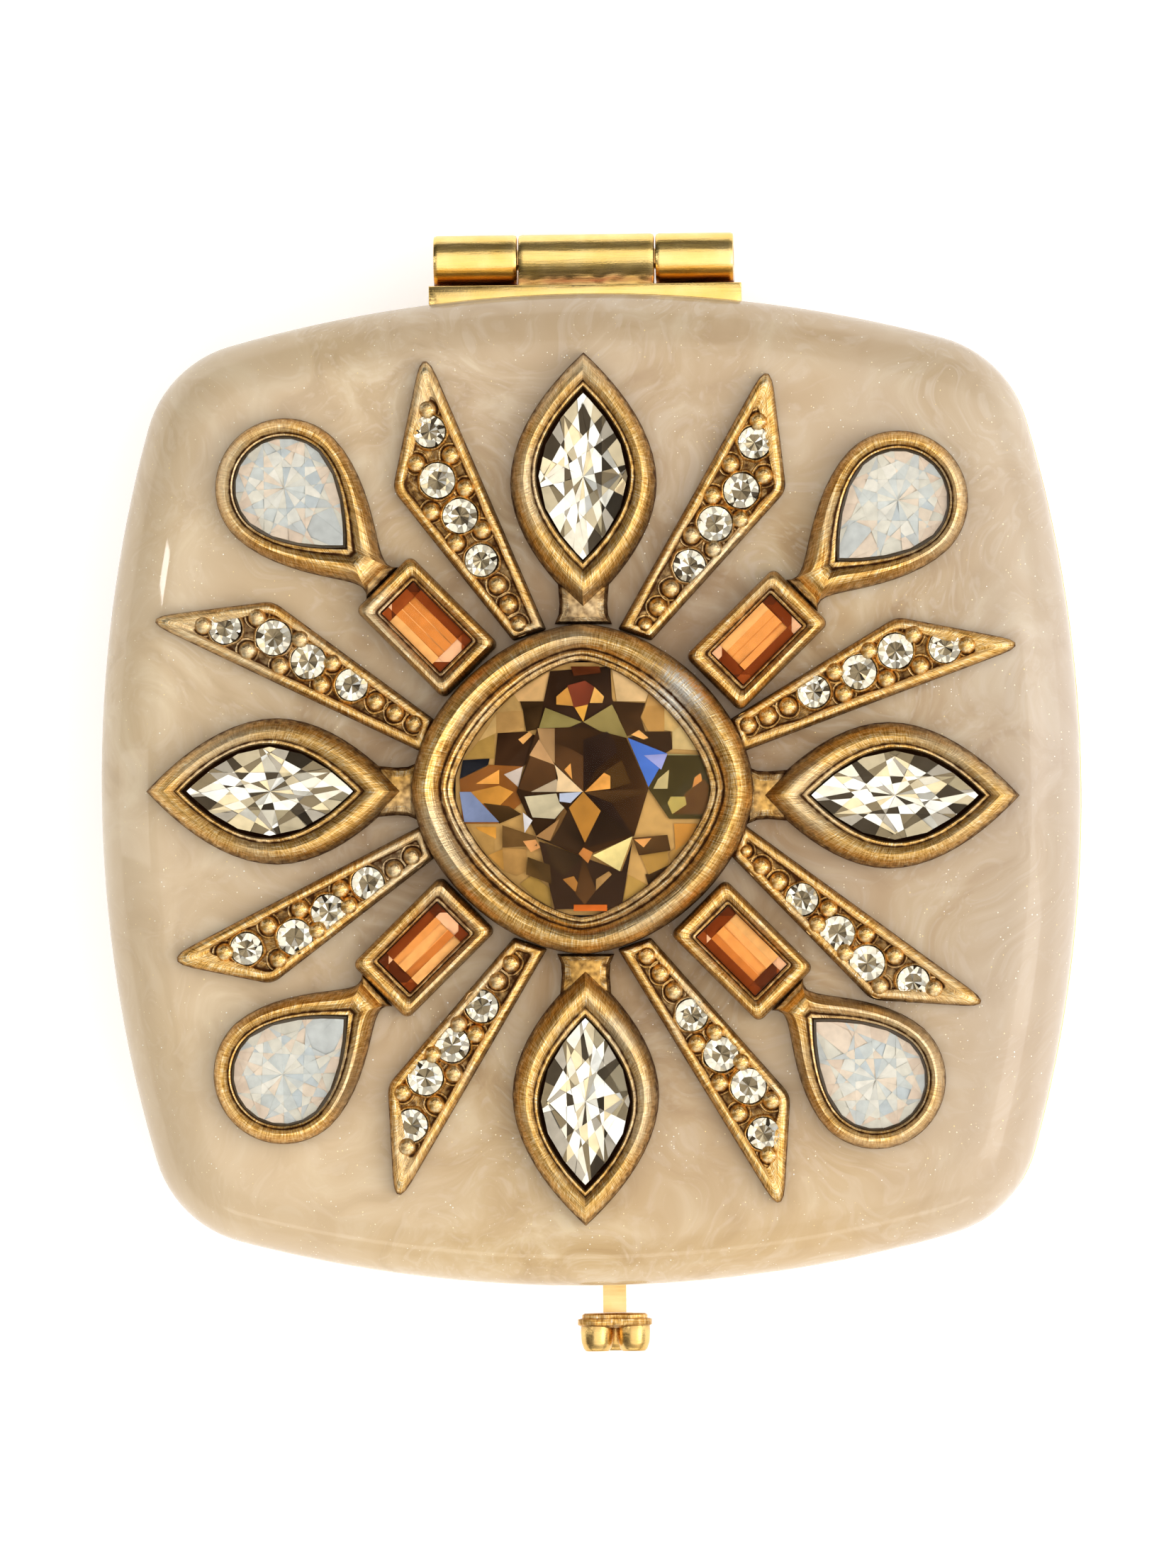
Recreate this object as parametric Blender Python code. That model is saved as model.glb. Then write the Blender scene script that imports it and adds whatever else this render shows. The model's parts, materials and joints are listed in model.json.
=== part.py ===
"""Powder compact with a jewelled lid: one Blender object for each physical piece, +Z up, in metres.

The origin is the middle of the underside. +Y points to the hinge, -Y to the latch. All sizes below are in
millimetres and become metres when a mesh is made. At rest the case is shut.
"""

import math

import bmesh
import bpy
from mathutils import Vector

MM = 0.001
GAP = 0.05  # between pieces that touch on the real object

# Case outline: four long side arcs and four corner arcs.
HALF_WIDTH = 31.0
HALF_DEPTH = 31.4
SIDE_RADIUS = 85.0
CORNER_RADIUS = 7.5
SIDE_STEPS = 4
CORNER_STEPS = 4

# Case heights.
ENAMEL = 0.8
SHELL = 0.7
SEAM_GAP = 0.05
BASE_TOP = 8.2
RIM_HEIGHT = 0.65
RIM_INSET = -0.06  # the metal stands a little proud of the enamel
ENAMEL_EDGE = 0.12
BASE_ROLL = 3.6
LID_BOTTOM = BASE_TOP + SEAM_GAP
LID_WALL_TOP = 11.4
LID_ROLL_WIDTH = 4.2
LID_ROLL_HEIGHT = 3.7
DOME_RISE = 0.9
DOME_RADIUS = 38.0
ROLL_STEPS = 3

# Inside the base.
WELL_RADIUS = 21.75
WELL_WALL = 0.5
PLATE_BOTTOM = 7.7
UPSTAND_TOP = 9.4
UPSTAND_INSET = 1.75
UPSTAND_WIDTH = 0.6
FLOOR = ENAMEL + SHELL + 2 * GAP
PAN_RADIUS = WELL_RADIUS - GAP
PAN_WALL = 0.4
PAN_TOP = 5.0
POWDER_TOP = 4.75
PUFF_RADIUS = 20.8
PUFF_BOTTOM = 5.05
PUFF_TOP = 7.15
RIBBON_HALF_WIDTH = 5.0
RIBBON_THICKNESS = 0.25

# Inside the lid.
MIRROR_INSET = 4.7
MIRROR_BACK = 13.15
MIRROR_FACE = 12.15
BACKING_TOP = 13.5
FRAME_INSET = 4.1
FRAME_LIP = 0.7
FRAME_BOTTOM = 11.95

# Hinge.
HINGE_Y = 33.7
HINGE_Z = BASE_TOP
BARREL_RADIUS = 1.6
BORE_RADIUS = 0.72
PIN_RADIUS = 0.65
LEFT_BARREL = (-9.65, -4.35)
LID_BARREL = (-4.25, 4.35)
RIGHT_BARREL = (4.45, 9.4)
LEAF_HALF_WIDTH = 9.9
LEAF_INNER = HALF_DEPTH - RIM_INSET + GAP
LEAF_THICKNESS = 0.5
BASE_LEAF_Z = (4.4, 5.6, 7.3)  # bottom edge, top of its outer face, top of its inner face
LID_LEAF_TOP = 11.3
LID_LEAF_RISE = 0.1  # its lower edge stands this far above the lid's
SWEEP_MIDDLE = (0.45, 12.2)  # behind the pin, and above the table
SWEEP_RADIUS = 2.45

# Latch. The slider moves along Y; pressing it in takes its hook off the striker on the lid.
LATCH_X = 1.0
LATCH_Z = 6.3
STEM_HALF_WIDTH = 0.73
STEM_HALF_HEIGHT = 0.5
STEM_FRONT = -33.2
SLIDER_FRONT = -28.8
SLIDER_BACK = -26.6
SLIDER_HALF_WIDTH = 1.9
SLIDER_HALF_HEIGHT = 1.2
HOOK_HALF_WIDTH = 1.0
HOOK_POST = (-28.3, -27.3)
HOOK_NOSE_FRONT = -29.4
HOOK_NOSE = (9.9, 10.6)
STRIKER_HALF_WIDTH = 2.2
STRIKER_Z = (9.2, 9.8)
STRIKER_FRONT = -28.5
STRIKER_TAB = 0.4
GUIDE_HALF_WIDTH = 2.75
GUIDE_BACK = (-23.1, -22.45)
GUIDE_FRONT = -27.75
GUIDE_FLOOR = 4.9
GUIDE_TOP = 7.6
SPRING_RADIUS = 0.85
SPRING_WIRE = 0.16
SPRING_TURNS = 5
COLLET_RADIUS = 0.95
COLLET_TIP_RADIUS = 0.72
COLLET_SHOULDER = -34.95
COLLET_FRONT = -35.5
COLLET_MIDDLES = [(-1.28, 0.55), (1.28, 0.55), (0.0, -1.3)]  # a trefoil, two up and one down
THUMB_BACK = (-34.6, -33.25)
THUMB_STONE_FRONT = -35.8
THUMB_STONE_RADIUS = 0.6
THUMB_TABLE_RADIUS = 0.3
THUMB_LOBE_RADIUS = 1.05
THUMB_LOBE_REACH = 1.3

# Jewelled ornament on the lid. Heights are above the enamel.
ORNAMENT_GAP = 0.1
ORNAMENT_SHIFT = -0.4  # soldered a little to the left of the middle
ORNAMENT_TURN = -0.7  # and a little askew, in degrees
CENTER_BEZEL = (10.8, 10.4, 1.75)  # half width, half depth, power of the rounded diamond
CENTER_OPENING = (8.75, 8.65, 1.6)
CENTER_STONE_REACH = 8.05
CENTER_STONE_FLAT = 1.95
CENTER_STONE_BULGE = 0.35
NAVETTE_MIDDLE = 19.3
NAVETTE_HALF_WIDTH = 4.62
NAVETTE_OUTER = 8.25
NAVETTE_INNER = 8.0
NAVETTE_NECK_GAP = 0.1
NAVETTE_NECK_HALF_WIDTH = 1.25
NAVETTE_OPENING = (19.8, 5.6, 3.03)  # middle, half length, half width
NAVETTE_STONE = (19.7, 5.0, 2.65)
NAVETTE_POWER = 1.92
OPENING_TIP = 0.02  # the openings' points keep this share of their width, so that no faces fold up
BAGUETTE_HALF = (3.95, 2.45)
BAGUETTE_OPENING = (2.7, 1.48)
BAGUETTE_STONE = (2.55, 1.32)
PEAR_RADIUS = 4.4
PEAR_TAIL_GAP = 0.12
PEAR_TAIL_HALF_WIDTH = 1.15
PEAR_OPENING = (3.3, 5.6)  # radius, and reach of the tail
PEAR_OPENING_TIP = 0.05
PEAR_STONE = (3.05, 5.1)
RAY_INNER_DISTANCE = 10.85
RAY_INNER_ANGLE = 19.1
RAY_INNER_HALF_WIDTH = 1.1
RAY_HEIGHT = 1.3

# Sections of the settings: share of the way from the outer edge to the opening, and height.
CENTER_SECTION = [(0.0, 0.0), (0.0, 1.6), (0.18, 2.9), (0.5, 3.5), (0.85, 3.0), (1.0, 2.5), (1.0, 0.8)]
NAVETTE_SECTION = [(0.0, 0.0), (0.0, 0.9), (0.2, 1.9), (0.55, 2.3), (1.0, 1.6), (1.0, 0.5)]
BAGUETTE_SECTION = [(0.0, 0.0), (0.0, 1.5), (0.3, 2.1), (0.65, 2.1), (1.0, 1.7), (1.0, 0.6)]
PEAR_SECTION = [(0.0, 0.0), (0.0, 0.9), (0.25, 1.9), (0.6, 2.3), (1.0, 1.7), (1.0, 0.6)]
RAY_BED = 0.4  # depth of the sunk bed
RAY_SECTION = [(0.0, 0.0), (0.0, 1.0), (0.08, RAY_HEIGHT), (0.24, RAY_HEIGHT), (0.3, RAY_HEIGHT - RAY_BED)]

# Stones: heights of the underside, the girdle and the table.
CENTER_STONE_Z = (1.0, 2.6, 3.75)
NAVETTE_STONE_Z = (0.7, 1.6, 2.1)
BAGUETTE_STONE_Z = (0.7, 1.5, 1.95)
PEAR_STONE_Z = (0.7, 1.5, 2.0)

COMPASS = {"north": 90.0, "west": 180.0, "south": 270.0, "east": 0.0}
NAVETTE_SHIFT = {"north": 0.05, "west": -0.15, "south": 0.2, "east": -0.4}  # sideways, along +X or +Y
DIAGONALS = {  # middles of the baguette setting and of the pear's round end
    "northwest": ((-9.8, 10.2), (-18.8, 19.0)),
    "northeast": ((11.0, 9.4), (19.9, 18.2)),
    "southwest": ((-10.0, -10.0), (-18.9, -18.0)),
    "southeast": ((10.05, -10.2), (18.5, -18.3)),
}
RAYS = {  # tip and shoulder of each ray
    "north_northwest": ((-9.84, 26.88), (-11.99, 18.88)),
    "north_northeast": ((11.45, 26.12), (12.84, 18.83)),
    "east_northeast": ((27.2, 8.99), (19.8, 10.85)),
    "east_southeast": ((25.05, -13.28), (18.2, -13.3)),
    "south_southeast": ((12.21, -25.99), (13.1, -19.3)),
    "south_southwest": ((-11.45, -25.5), (-12.3, -18.7)),
    "west_southwest": ((-25.5, -10.56), (-19.6, -12.3)),
    "west_northwest": ((-26.88, 10.47), (-19.55, 11.85)),
}

# name: colour, roughness, metallic
MATERIALS = {
    "polished_gold": ((0.83, 0.61, 0.28), 0.22, 1.0),
    "antique_gold": ((0.56, 0.40, 0.20), 0.35, 1.0),
    "brass": ((0.78, 0.62, 0.34), 0.3, 1.0),
    "steel": ((0.6, 0.6, 0.62), 0.3, 1.0),
    "pearl_enamel": ((0.62, 0.49, 0.35), 0.15, 0.0),
    "topaz_glass": ((0.35, 0.18, 0.05), 0.05, 0.0),
    "clear_glass": ((0.85, 0.85, 0.82), 0.05, 0.0),
    "amber_glass": ((0.75, 0.33, 0.09), 0.05, 0.0),
    "opal_glass": ((0.80, 0.78, 0.72), 0.1, 0.0),
    "mirror_silver": ((0.9, 0.9, 0.9), 0.02, 1.0),
    "grey_card": ((0.35, 0.33, 0.31), 0.9, 0.0),
    "tinplate": ((0.72, 0.72, 0.70), 0.3, 1.0),
    "face_powder": ((0.80, 0.62, 0.48), 0.9, 0.0),
    "velour": ((0.86, 0.72, 0.60), 0.95, 0.0),
    "satin": ((0.80, 0.66, 0.48), 0.4, 0.0),
}


# ---------------------------------------------------------------- scene and meshes


def clear_scene():
    for obj in list(bpy.data.objects):
        bpy.data.objects.remove(obj)


def material(name):
    """The named Principled material, made on first use."""
    found = bpy.data.materials.get(name)
    if found:
        return found
    colour, roughness, metallic = MATERIALS[name]
    made = bpy.data.materials.new(name)
    made.use_nodes = True
    shader = made.node_tree.nodes["Principled BSDF"]
    shader.inputs["Base Color"].default_value = (*colour, 1.0)
    shader.inputs["Roughness"].default_value = roughness
    shader.inputs["Metallic"].default_value = metallic
    return made


def add_object(name, bm, material_name, origin=(0.0, 0.0, 0.0)):
    """Turns a bmesh in millimetres into an object in metres whose own origin is at origin (mm)."""
    bmesh.ops.recalc_face_normals(bm, faces=bm.faces)
    for vert in bm.verts:
        vert.co = (vert.co - Vector(origin)) * MM
    mesh = bpy.data.meshes.new(name)
    bm.to_mesh(mesh)
    bm.free()
    mesh.shade_smooth()
    mesh.set_sharp_from_angle(angle=math.radians(35))
    mesh.materials.append(material(material_name))
    obj = bpy.data.objects.new(name, mesh)
    obj.location = Vector(origin) * MM
    bpy.context.scene.collection.objects.link(obj)
    return obj


def skin(bm, rings, closed=False):
    """Faces through rings of equally many points. A ring of one point is a pole; open ends get flat caps."""
    rows = [[bm.verts.new(point) for point in ring] for ring in rings]
    pairs = list(zip(rows, rows[1:]))
    if closed:
        pairs.append((rows[-1], rows[0]))
    for low, high in pairs:
        count = max(len(low), len(high))
        for i in range(count):
            j = (i + 1) % count
            if len(low) == 1:
                bm.faces.new((low[0], high[j], high[i]))
            elif len(high) == 1:
                bm.faces.new((low[i], low[j], high[0]))
            else:
                bm.faces.new((low[i], low[j], high[j], high[i]))
    for row in (rows[0], rows[-1]):
        if not closed and len(row) > 1:
            bm.faces.new(row)


def loft(name, rings, material_name, closed=False, origin=(0.0, 0.0, 0.0)):
    bm = bmesh.new()
    skin(bm, rings, closed)
    return add_object(name, bm, material_name, origin)


def add_box(bm, low, high):
    corners = [
        [(low[0], low[1], z), (high[0], low[1], z), (high[0], high[1], z), (low[0], high[1], z)]
        for z in (low[2], high[2])
    ]
    skin(bm, corners)


def boolean(target, tool, operation):
    """Joins or cuts target with tool, which stays in the file as a hidden guide."""
    tool.hide_render = True
    tool.display_type = "WIRE"
    modifier = target.modifiers.new(operation.lower() + "_" + tool.name, "BOOLEAN")
    modifier.operation = operation
    modifier.solver = "EXACT"
    modifier.object = tool


def box_tool(name, low, high):
    bm = bmesh.new()
    add_box(bm, low, high)
    return add_object(name, bm, "steel")


# ---------------------------------------------------------------- outlines, in plan


def cushion(inset):
    """Outline of the case moved in by inset, anticlockwise from the +X side's middle."""
    side_x = HALF_WIDTH - SIDE_RADIUS
    side_y = HALF_DEPTH - SIDE_RADIUS
    reach = SIDE_RADIUS - CORNER_RADIUS
    half_span = math.hypot(side_x, side_y) / 2
    along = math.sqrt(reach**2 - half_span**2) / (2 * half_span)
    corner_x = side_x / 2 - along * side_y
    corner_y = side_y / 2 - along * side_x
    first = math.atan2(corner_y, corner_x - side_x)
    last = math.atan2(corner_y - side_y, corner_x)
    radius = SIDE_RADIUS - inset
    corner = CORNER_RADIUS - inset
    quarter = []
    for i in range(SIDE_STEPS):
        angle = first * i / SIDE_STEPS
        quarter.append((side_x + radius * math.cos(angle), radius * math.sin(angle)))
    for i in range(CORNER_STEPS):
        angle = first + (last - first) * i / CORNER_STEPS
        quarter.append((corner_x + corner * math.cos(angle), corner_y + corner * math.sin(angle)))
    for i in range(SIDE_STEPS + 1):
        angle = last + (math.pi / 2 - last) * i / SIDE_STEPS
        quarter.append((radius * math.cos(angle), side_y + radius * math.sin(angle)))
    half = quarter[:-1] + [(-x, y) for x, y in reversed(quarter)]
    return half[:-1] + [(-x, -y) for x, y in half[:-1]]


CASE_POINTS = 4 * (2 * SIDE_STEPS + CORNER_STEPS)


def circle(radius, count=CASE_POINTS):
    turn = 2 * math.pi / count
    return [(radius * math.cos(i * turn), radius * math.sin(i * turn)) for i in range(count)]


def rounded_diamond(half_width, half_depth, power, count=32):
    """Superellipse |x/a|^p + |y/b|^p = 1, with p under 2."""
    points = []
    for i in range(count):
        angle = 2 * math.pi * i / count
        across, up = math.cos(angle), math.sin(angle)
        size = (abs(across) ** power + abs(up) ** power) ** (-1 / power)
        points.append((half_width * across * size, half_depth * up * size))
    return points


def from_half_widths(stations):
    """Closed outline from (along, half width) stations; the first and last are on the axis if 0 wide."""
    right = [(along, -half) for along, half in stations]
    left = [(along, half) for along, half in reversed(stations)]
    points = right + left
    return [p for i, p in enumerate(points) if math.dist(p, points[i - 1]) > 1e-6]


def leaf_half_width(place, power=NAVETTE_POWER):
    """Half width, as a share of the widest, at a place from -1 to 1 along a pointed leaf."""
    return 1 - abs(place) ** power


def navette(middle, half_length, half_width, steps=8):
    places = [-math.cos(math.pi * i / steps) for i in range(steps + 1)]
    return from_half_widths([(middle + half_length * p, half_width * leaf_half_width(p)) for p in places])


def navette_setting(neck, steps=8):
    """A pointed leaf whose inner tip runs into a short neck, which ends at neck."""
    stations = []
    for i in range(steps + 1):
        place = -math.cos(math.pi * i / steps)
        if i == 0:
            stations.append((neck, NAVETTE_NECK_HALF_WIDTH))
            continue
        reach = NAVETTE_INNER if place < 0 else NAVETTE_OUTER
        along = NAVETTE_MIDDLE + reach * place
        half = NAVETTE_HALF_WIDTH * leaf_half_width(place)
        if place < 0:
            half = math.hypot(half, NAVETTE_NECK_HALF_WIDTH * abs(place) ** 3)
        stations.append((along, half))
    return from_half_widths(stations)


def pear(radius, tail, tail_half_width=0.0, steps=9):
    """Round end on the far side of the origin, tail towards +X."""
    stations = []
    for i in range(steps + 1):
        place = -math.cos(math.pi * i / steps)
        if place < 0:
            stations.append((radius * place, radius * math.sqrt(1 - place**2)))
        else:
            half = radius * (1 - place**1.75)
            stations.append((tail * place, math.hypot(half, tail_half_width * place**3)))
    return from_half_widths(stations)


def rectangle(half_length, half_width):
    a, b = half_length, half_width
    return [(-a, -b), (a, -b), (a, b), (-a, b)]


def cut_rectangle(half_length, half_width, cut):
    a, b, c = half_length, half_width, cut
    lower = [(-a, -b + c), (-a + c, -b), (a - c, -b), (a, -b + c)]
    return lower + [(a, b - c), (a - c, b), (-a + c, b), (-a, b - c)]


def placed(points, origin, angle):
    """Turns plan points by angle (degrees) and moves them to origin."""
    c, s = math.cos(math.radians(angle)), math.sin(math.radians(angle))
    return [(origin[0] + c * x - s * y, origin[1] + s * x + c * y) for x, y in points]


def at(points, z):
    return [(x, y, z) for x, y in points]


def blend(outer, inner, share):
    return [(x + (u - x) * share, y + (v - y) * share) for (x, y), (u, v) in zip(outer, inner)]


def middle_of(points):
    return sum(p[0] for p in points) / len(points), sum(p[1] for p in points) / len(points)


# ---------------------------------------------------------------- case


def dome(x, y):
    return DOME_RISE * (1 - (x * x + y * y) / DOME_RADIUS**2)


def lid_top(x, y):
    """Height of the enamel on the flat of the lid."""
    return LID_WALL_TOP + LID_ROLL_HEIGHT + dome(x, y)


def lid_skin(depth, to_middle=True):
    """Rings of the surface that lies depth under the lid's outside, from the wall's top to the middle."""
    rings = []
    for i in range(ROLL_STEPS + 1):
        angle = math.pi / 2 * i / ROLL_STEPS
        plan = cushion(LID_ROLL_WIDTH - (LID_ROLL_WIDTH - depth) * math.cos(angle))
        rise = math.sin(angle)
        rings.append([(x, y, LID_WALL_TOP + (LID_ROLL_HEIGHT - depth + dome(x, y)) * rise) for x, y in plan])
    if not to_middle:
        return rings
    edge = cushion(LID_ROLL_WIDTH)
    for scale in (0.66, 0.33):
        rings.append([(x * scale, y * scale, lid_top(x * scale, y * scale) - depth) for x, y in edge])
    rings.append([(0.0, 0.0, lid_top(0, 0) - depth)])
    return rings


def base_skin(depth):
    """Rings of the surface that lies depth inside the base's outside, from the floor to the wall."""
    rings = []
    for i in range(ROLL_STEPS + 1):
        angle = math.pi / 2 * i / ROLL_STEPS
        reach = BASE_ROLL - depth
        rings.append(at(cushion(BASE_ROLL - reach * math.sin(angle)), BASE_ROLL - reach * math.cos(angle)))
    return rings


def base_enamel():
    top = BASE_TOP - RIM_HEIGHT - GAP
    rings = base_skin(0.0)
    rings += [at(cushion(0.0), top - 0.5), at(cushion(ENAMEL_EDGE), top), at(cushion(ENAMEL), top)]
    rings += reversed(base_skin(ENAMEL))
    enamel = loft("base_enamel", rings, "pearl_enamel")
    boolean(enamel, latch_slot("enamel_slot"), "DIFFERENCE")


def base_shell():
    outside = ENAMEL + GAP
    inside = ENAMEL + GAP + SHELL
    rim = BASE_TOP - RIM_HEIGHT
    rings = base_skin(outside)
    rings += [at(cushion(outside), rim), at(cushion(RIM_INSET), rim), at(cushion(RIM_INSET), BASE_TOP)]
    rings.append(at(cushion(inside), BASE_TOP))
    rings += reversed(base_skin(inside))
    shell = loft("base_shell", rings, "brass")
    boolean(shell, latch_slot("shell_slot"), "DIFFERENCE")


def latch_slot(name):
    """The opening in the front wall that the latch stem passes through."""
    half_width = STEM_HALF_WIDTH + 0.2
    half_height = STEM_HALF_HEIGHT + 0.2
    low = (LATCH_X - half_width, -HALF_DEPTH - 2, LATCH_Z - half_height)
    high = (LATCH_X + half_width, -HALF_DEPTH + 3, LATCH_Z + half_height)
    return box_tool(name, low, high)


def lid_enamel():
    bottom = LID_BOTTOM + RIM_HEIGHT + GAP
    rings = [at(cushion(ENAMEL), bottom), at(cushion(ENAMEL_EDGE), bottom), at(cushion(0.0), bottom + 0.5)]
    rings += lid_skin(0.0)
    inner = lid_skin(ENAMEL)
    loft("lid_enamel", list(reversed(inner)) + rings, "pearl_enamel", closed=False)


def lid_shell():
    outside = ENAMEL + GAP
    inside = outside + SHELL
    rim = LID_BOTTOM + RIM_HEIGHT
    outer = lid_skin(outside)
    ceiling = lid_skin(inside, to_middle=False)
    flat = LID_WALL_TOP + LID_ROLL_HEIGHT - inside
    ceiling = [[(x, y, min(z, flat)) for x, y, z in ring] for ring in ceiling]
    rings = list(reversed(outer))
    rings += [at(cushion(outside), rim), at(cushion(RIM_INSET), rim), at(cushion(RIM_INSET), LID_BOTTOM)]
    rings.append(at(cushion(inside), LID_BOTTOM))
    rings += ceiling
    rings.append([(0.0, 0.0, flat)])
    loft("lid_shell", rings, "brass")


# ---------------------------------------------------------------- base fittings


def inner_plate():
    """Plate at the rim with an upstand that guides the lid and a skirt round the powder well."""
    upstand_inner = UPSTAND_INSET + UPSTAND_WIDTH
    well = circle(WELL_RADIUS)
    skirt = circle(WELL_RADIUS + WELL_WALL)
    rings = [
        at(cushion(upstand_inner), BASE_TOP),
        at(cushion(upstand_inner), UPSTAND_TOP),
        at(cushion(UPSTAND_INSET), UPSTAND_TOP),
        at(cushion(UPSTAND_INSET), PLATE_BOTTOM),
        at(skirt, PLATE_BOTTOM),
        at(skirt, FLOOR + 0.4),
        at(well, FLOOR + 0.4),
        at(well, BASE_TOP),
    ]
    plate = loft("inner_plate", rings, "polished_gold", closed=True)
    low = (LATCH_X - HOOK_HALF_WIDTH - 0.3, -HALF_DEPTH, PLATE_BOTTOM - 0.5)
    high = (LATCH_X + HOOK_HALF_WIDTH + 0.3, HOOK_POST[1] + 1.8, UPSTAND_TOP + 0.5)
    boolean(plate, box_tool("hook_slot", low, high), "DIFFERENCE")
    low = (LATCH_X - STRIKER_HALF_WIDTH - 0.3, -HALF_DEPTH, BASE_TOP - 0.1)
    high = (LATCH_X + STRIKER_HALF_WIDTH + 0.3, STRIKER_FRONT + 0.3, UPSTAND_TOP + 0.5)
    boolean(plate, box_tool("striker_notch", low, high), "DIFFERENCE")


def powder_pan():
    inner = PAN_RADIUS - PAN_WALL
    rings = [
        at(circle(PAN_RADIUS, 40), FLOOR),
        at(circle(PAN_RADIUS, 40), PAN_TOP),
        at(circle(inner, 40), PAN_TOP),
        at(circle(inner, 40), FLOOR + PAN_WALL),
    ]
    loft("powder_pan", rings, "tinplate")


def pressed_powder():
    radius = PAN_RADIUS - PAN_WALL - GAP
    bottom = FLOOR + PAN_WALL + GAP
    rings = [
        at(circle(radius, 40), bottom),
        at(circle(radius, 40), POWDER_TOP - 0.4),
        at(circle(radius - 0.5, 40), POWDER_TOP),
    ]
    loft("pressed_powder", rings, "face_powder")


def puff():
    thickness = PUFF_TOP - PUFF_BOTTOM
    rings = []
    for share, drawn_in in ((0.0, 0.9), (0.25, 0.15), (0.6, 0.0), (0.85, 0.3), (1.0, 1.2)):
        rings.append(at(circle(PUFF_RADIUS - drawn_in, 40), PUFF_BOTTOM + thickness * share))
    loft("puff", rings, "velour")


def puff_ribbon():
    """Flat ribbon across the puff, to hold it by."""
    low = PUFF_TOP + GAP
    reach = PUFF_RADIUS - 1.6
    bm = bmesh.new()
    bottom = (-reach, -RIBBON_HALF_WIDTH, low)
    add_box(bm, bottom, (reach, RIBBON_HALF_WIDTH, low + RIBBON_THICKNESS))
    add_object("puff_ribbon", bm, "satin")


# ---------------------------------------------------------------- lid fittings


def mirror():
    rings = [at(cushion(MIRROR_INSET), MIRROR_FACE), at(cushion(MIRROR_INSET), MIRROR_BACK)]
    loft("mirror_glass", rings, "mirror_silver")
    backing = [at(cushion(MIRROR_INSET), MIRROR_BACK + GAP), at(cushion(MIRROR_INSET), BACKING_TOP - GAP)]
    loft("mirror_backing", backing, "grey_card")


def mirror_frame():
    lip = MIRROR_INSET + FRAME_LIP
    top = BACKING_TOP - 0.6
    rings = [
        at(cushion(FRAME_INSET), top),
        at(cushion(FRAME_INSET), FRAME_BOTTOM),
        at(cushion(lip), FRAME_BOTTOM),
        at(cushion(lip), MIRROR_FACE - GAP),
        at(cushion(MIRROR_INSET - GAP), MIRROR_FACE - GAP),
        at(cushion(MIRROR_INSET - GAP), top),
    ]
    loft("mirror_frame", rings, "polished_gold", closed=True)


# ---------------------------------------------------------------- hinge


def arc(centre, radius, first, last, steps):
    """Points (across, up) on an arc, angles in degrees."""
    points = []
    for i in range(steps + 1):
        angle = math.radians(first + (last - first) * i / steps)
        points.append((centre[0] + radius * math.cos(angle), centre[1] + radius * math.sin(angle)))
    return points


def along_x(name, profile, span, material_name, origin=(0.0, 0.0, 0.0)):
    """Extrudes a (y, z) profile along X."""
    rings = [[(x, y, z) for y, z in profile] for x in span]
    return loft(name, rings, material_name, origin=origin)


def bored(obj, span):
    """Drills the pin's hole through a hinge piece."""
    hole = arc((HINGE_Y, HINGE_Z), BORE_RADIUS, 0, 330, 11)
    boolean(obj, along_x(obj.name + "_bore", hole, (span[0] - 1, span[1] + 1), "steel"), "DIFFERENCE")


def base_knuckles():
    """Outer barrels, each rolled from a leaf that lies on the base's back wall."""
    leaf_outer = LEAF_INNER + LEAF_THICKNESS
    barrel = arc((HINGE_Y, HINGE_Z), BARREL_RADIUS, 180, -120, 20)
    bottom, outer_top, inner_top = BASE_LEAF_Z
    flat_leaf = [(leaf_outer, outer_top), (leaf_outer, bottom), (LEAF_INNER, bottom), (LEAF_INNER, inner_top)]
    profile = barrel + flat_leaf
    for name, span in (("hinge_barrel_left", LEFT_BARREL), ("hinge_barrel_right", RIGHT_BARREL)):
        bored(along_x(name, profile, span, "polished_gold"), span)


def lid_knuckle():
    """Middle barrel with a hollow leaf that sweeps in to a plate on the lid's back wall."""
    leaf_outer = LEAF_INNER + LEAF_THICKNESS
    plate_bottom = LID_BOTTOM + LID_LEAF_RISE
    barrel = arc((HINGE_Y, HINGE_Z), BARREL_RADIUS, 75, -180, 18)
    sweep = arc((HINGE_Y + SWEEP_MIDDLE[0], SWEEP_MIDDLE[1]), SWEEP_RADIUS, 205, 262, 5)
    middle = LEAF_INNER + LEAF_THICKNESS / 2
    profile = barrel + [(middle, plate_bottom + 0.1), (middle, sweep[0][1])] + sweep
    origin = (0.0, HINGE_Y, HINGE_Z)
    knuckle = along_x("hinge_barrel_lid", profile, LID_BARREL, "polished_gold", origin)
    bored(knuckle, LID_BARREL)
    low = (-LEAF_HALF_WIDTH, LEAF_INNER, plate_bottom)
    plate = box_tool("lid_leaf", low, (LEAF_HALF_WIDTH, leaf_outer, LID_LEAF_TOP))
    boolean(knuckle, plate, "UNION")


def hinge_pin():
    profile = arc((HINGE_Y, HINGE_Z), PIN_RADIUS, 0, 330, 11)
    along_x("hinge_pin", profile, (LEFT_BARREL[0] + 0.15, RIGHT_BARREL[1] - 0.15), "steel")


# ---------------------------------------------------------------- latch


def along_y(points, y):
    """Plan points read as (across, up), set at y in front of the latch."""
    return [(LATCH_X + x, y, LATCH_Z + z) for x, z in points]


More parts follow.
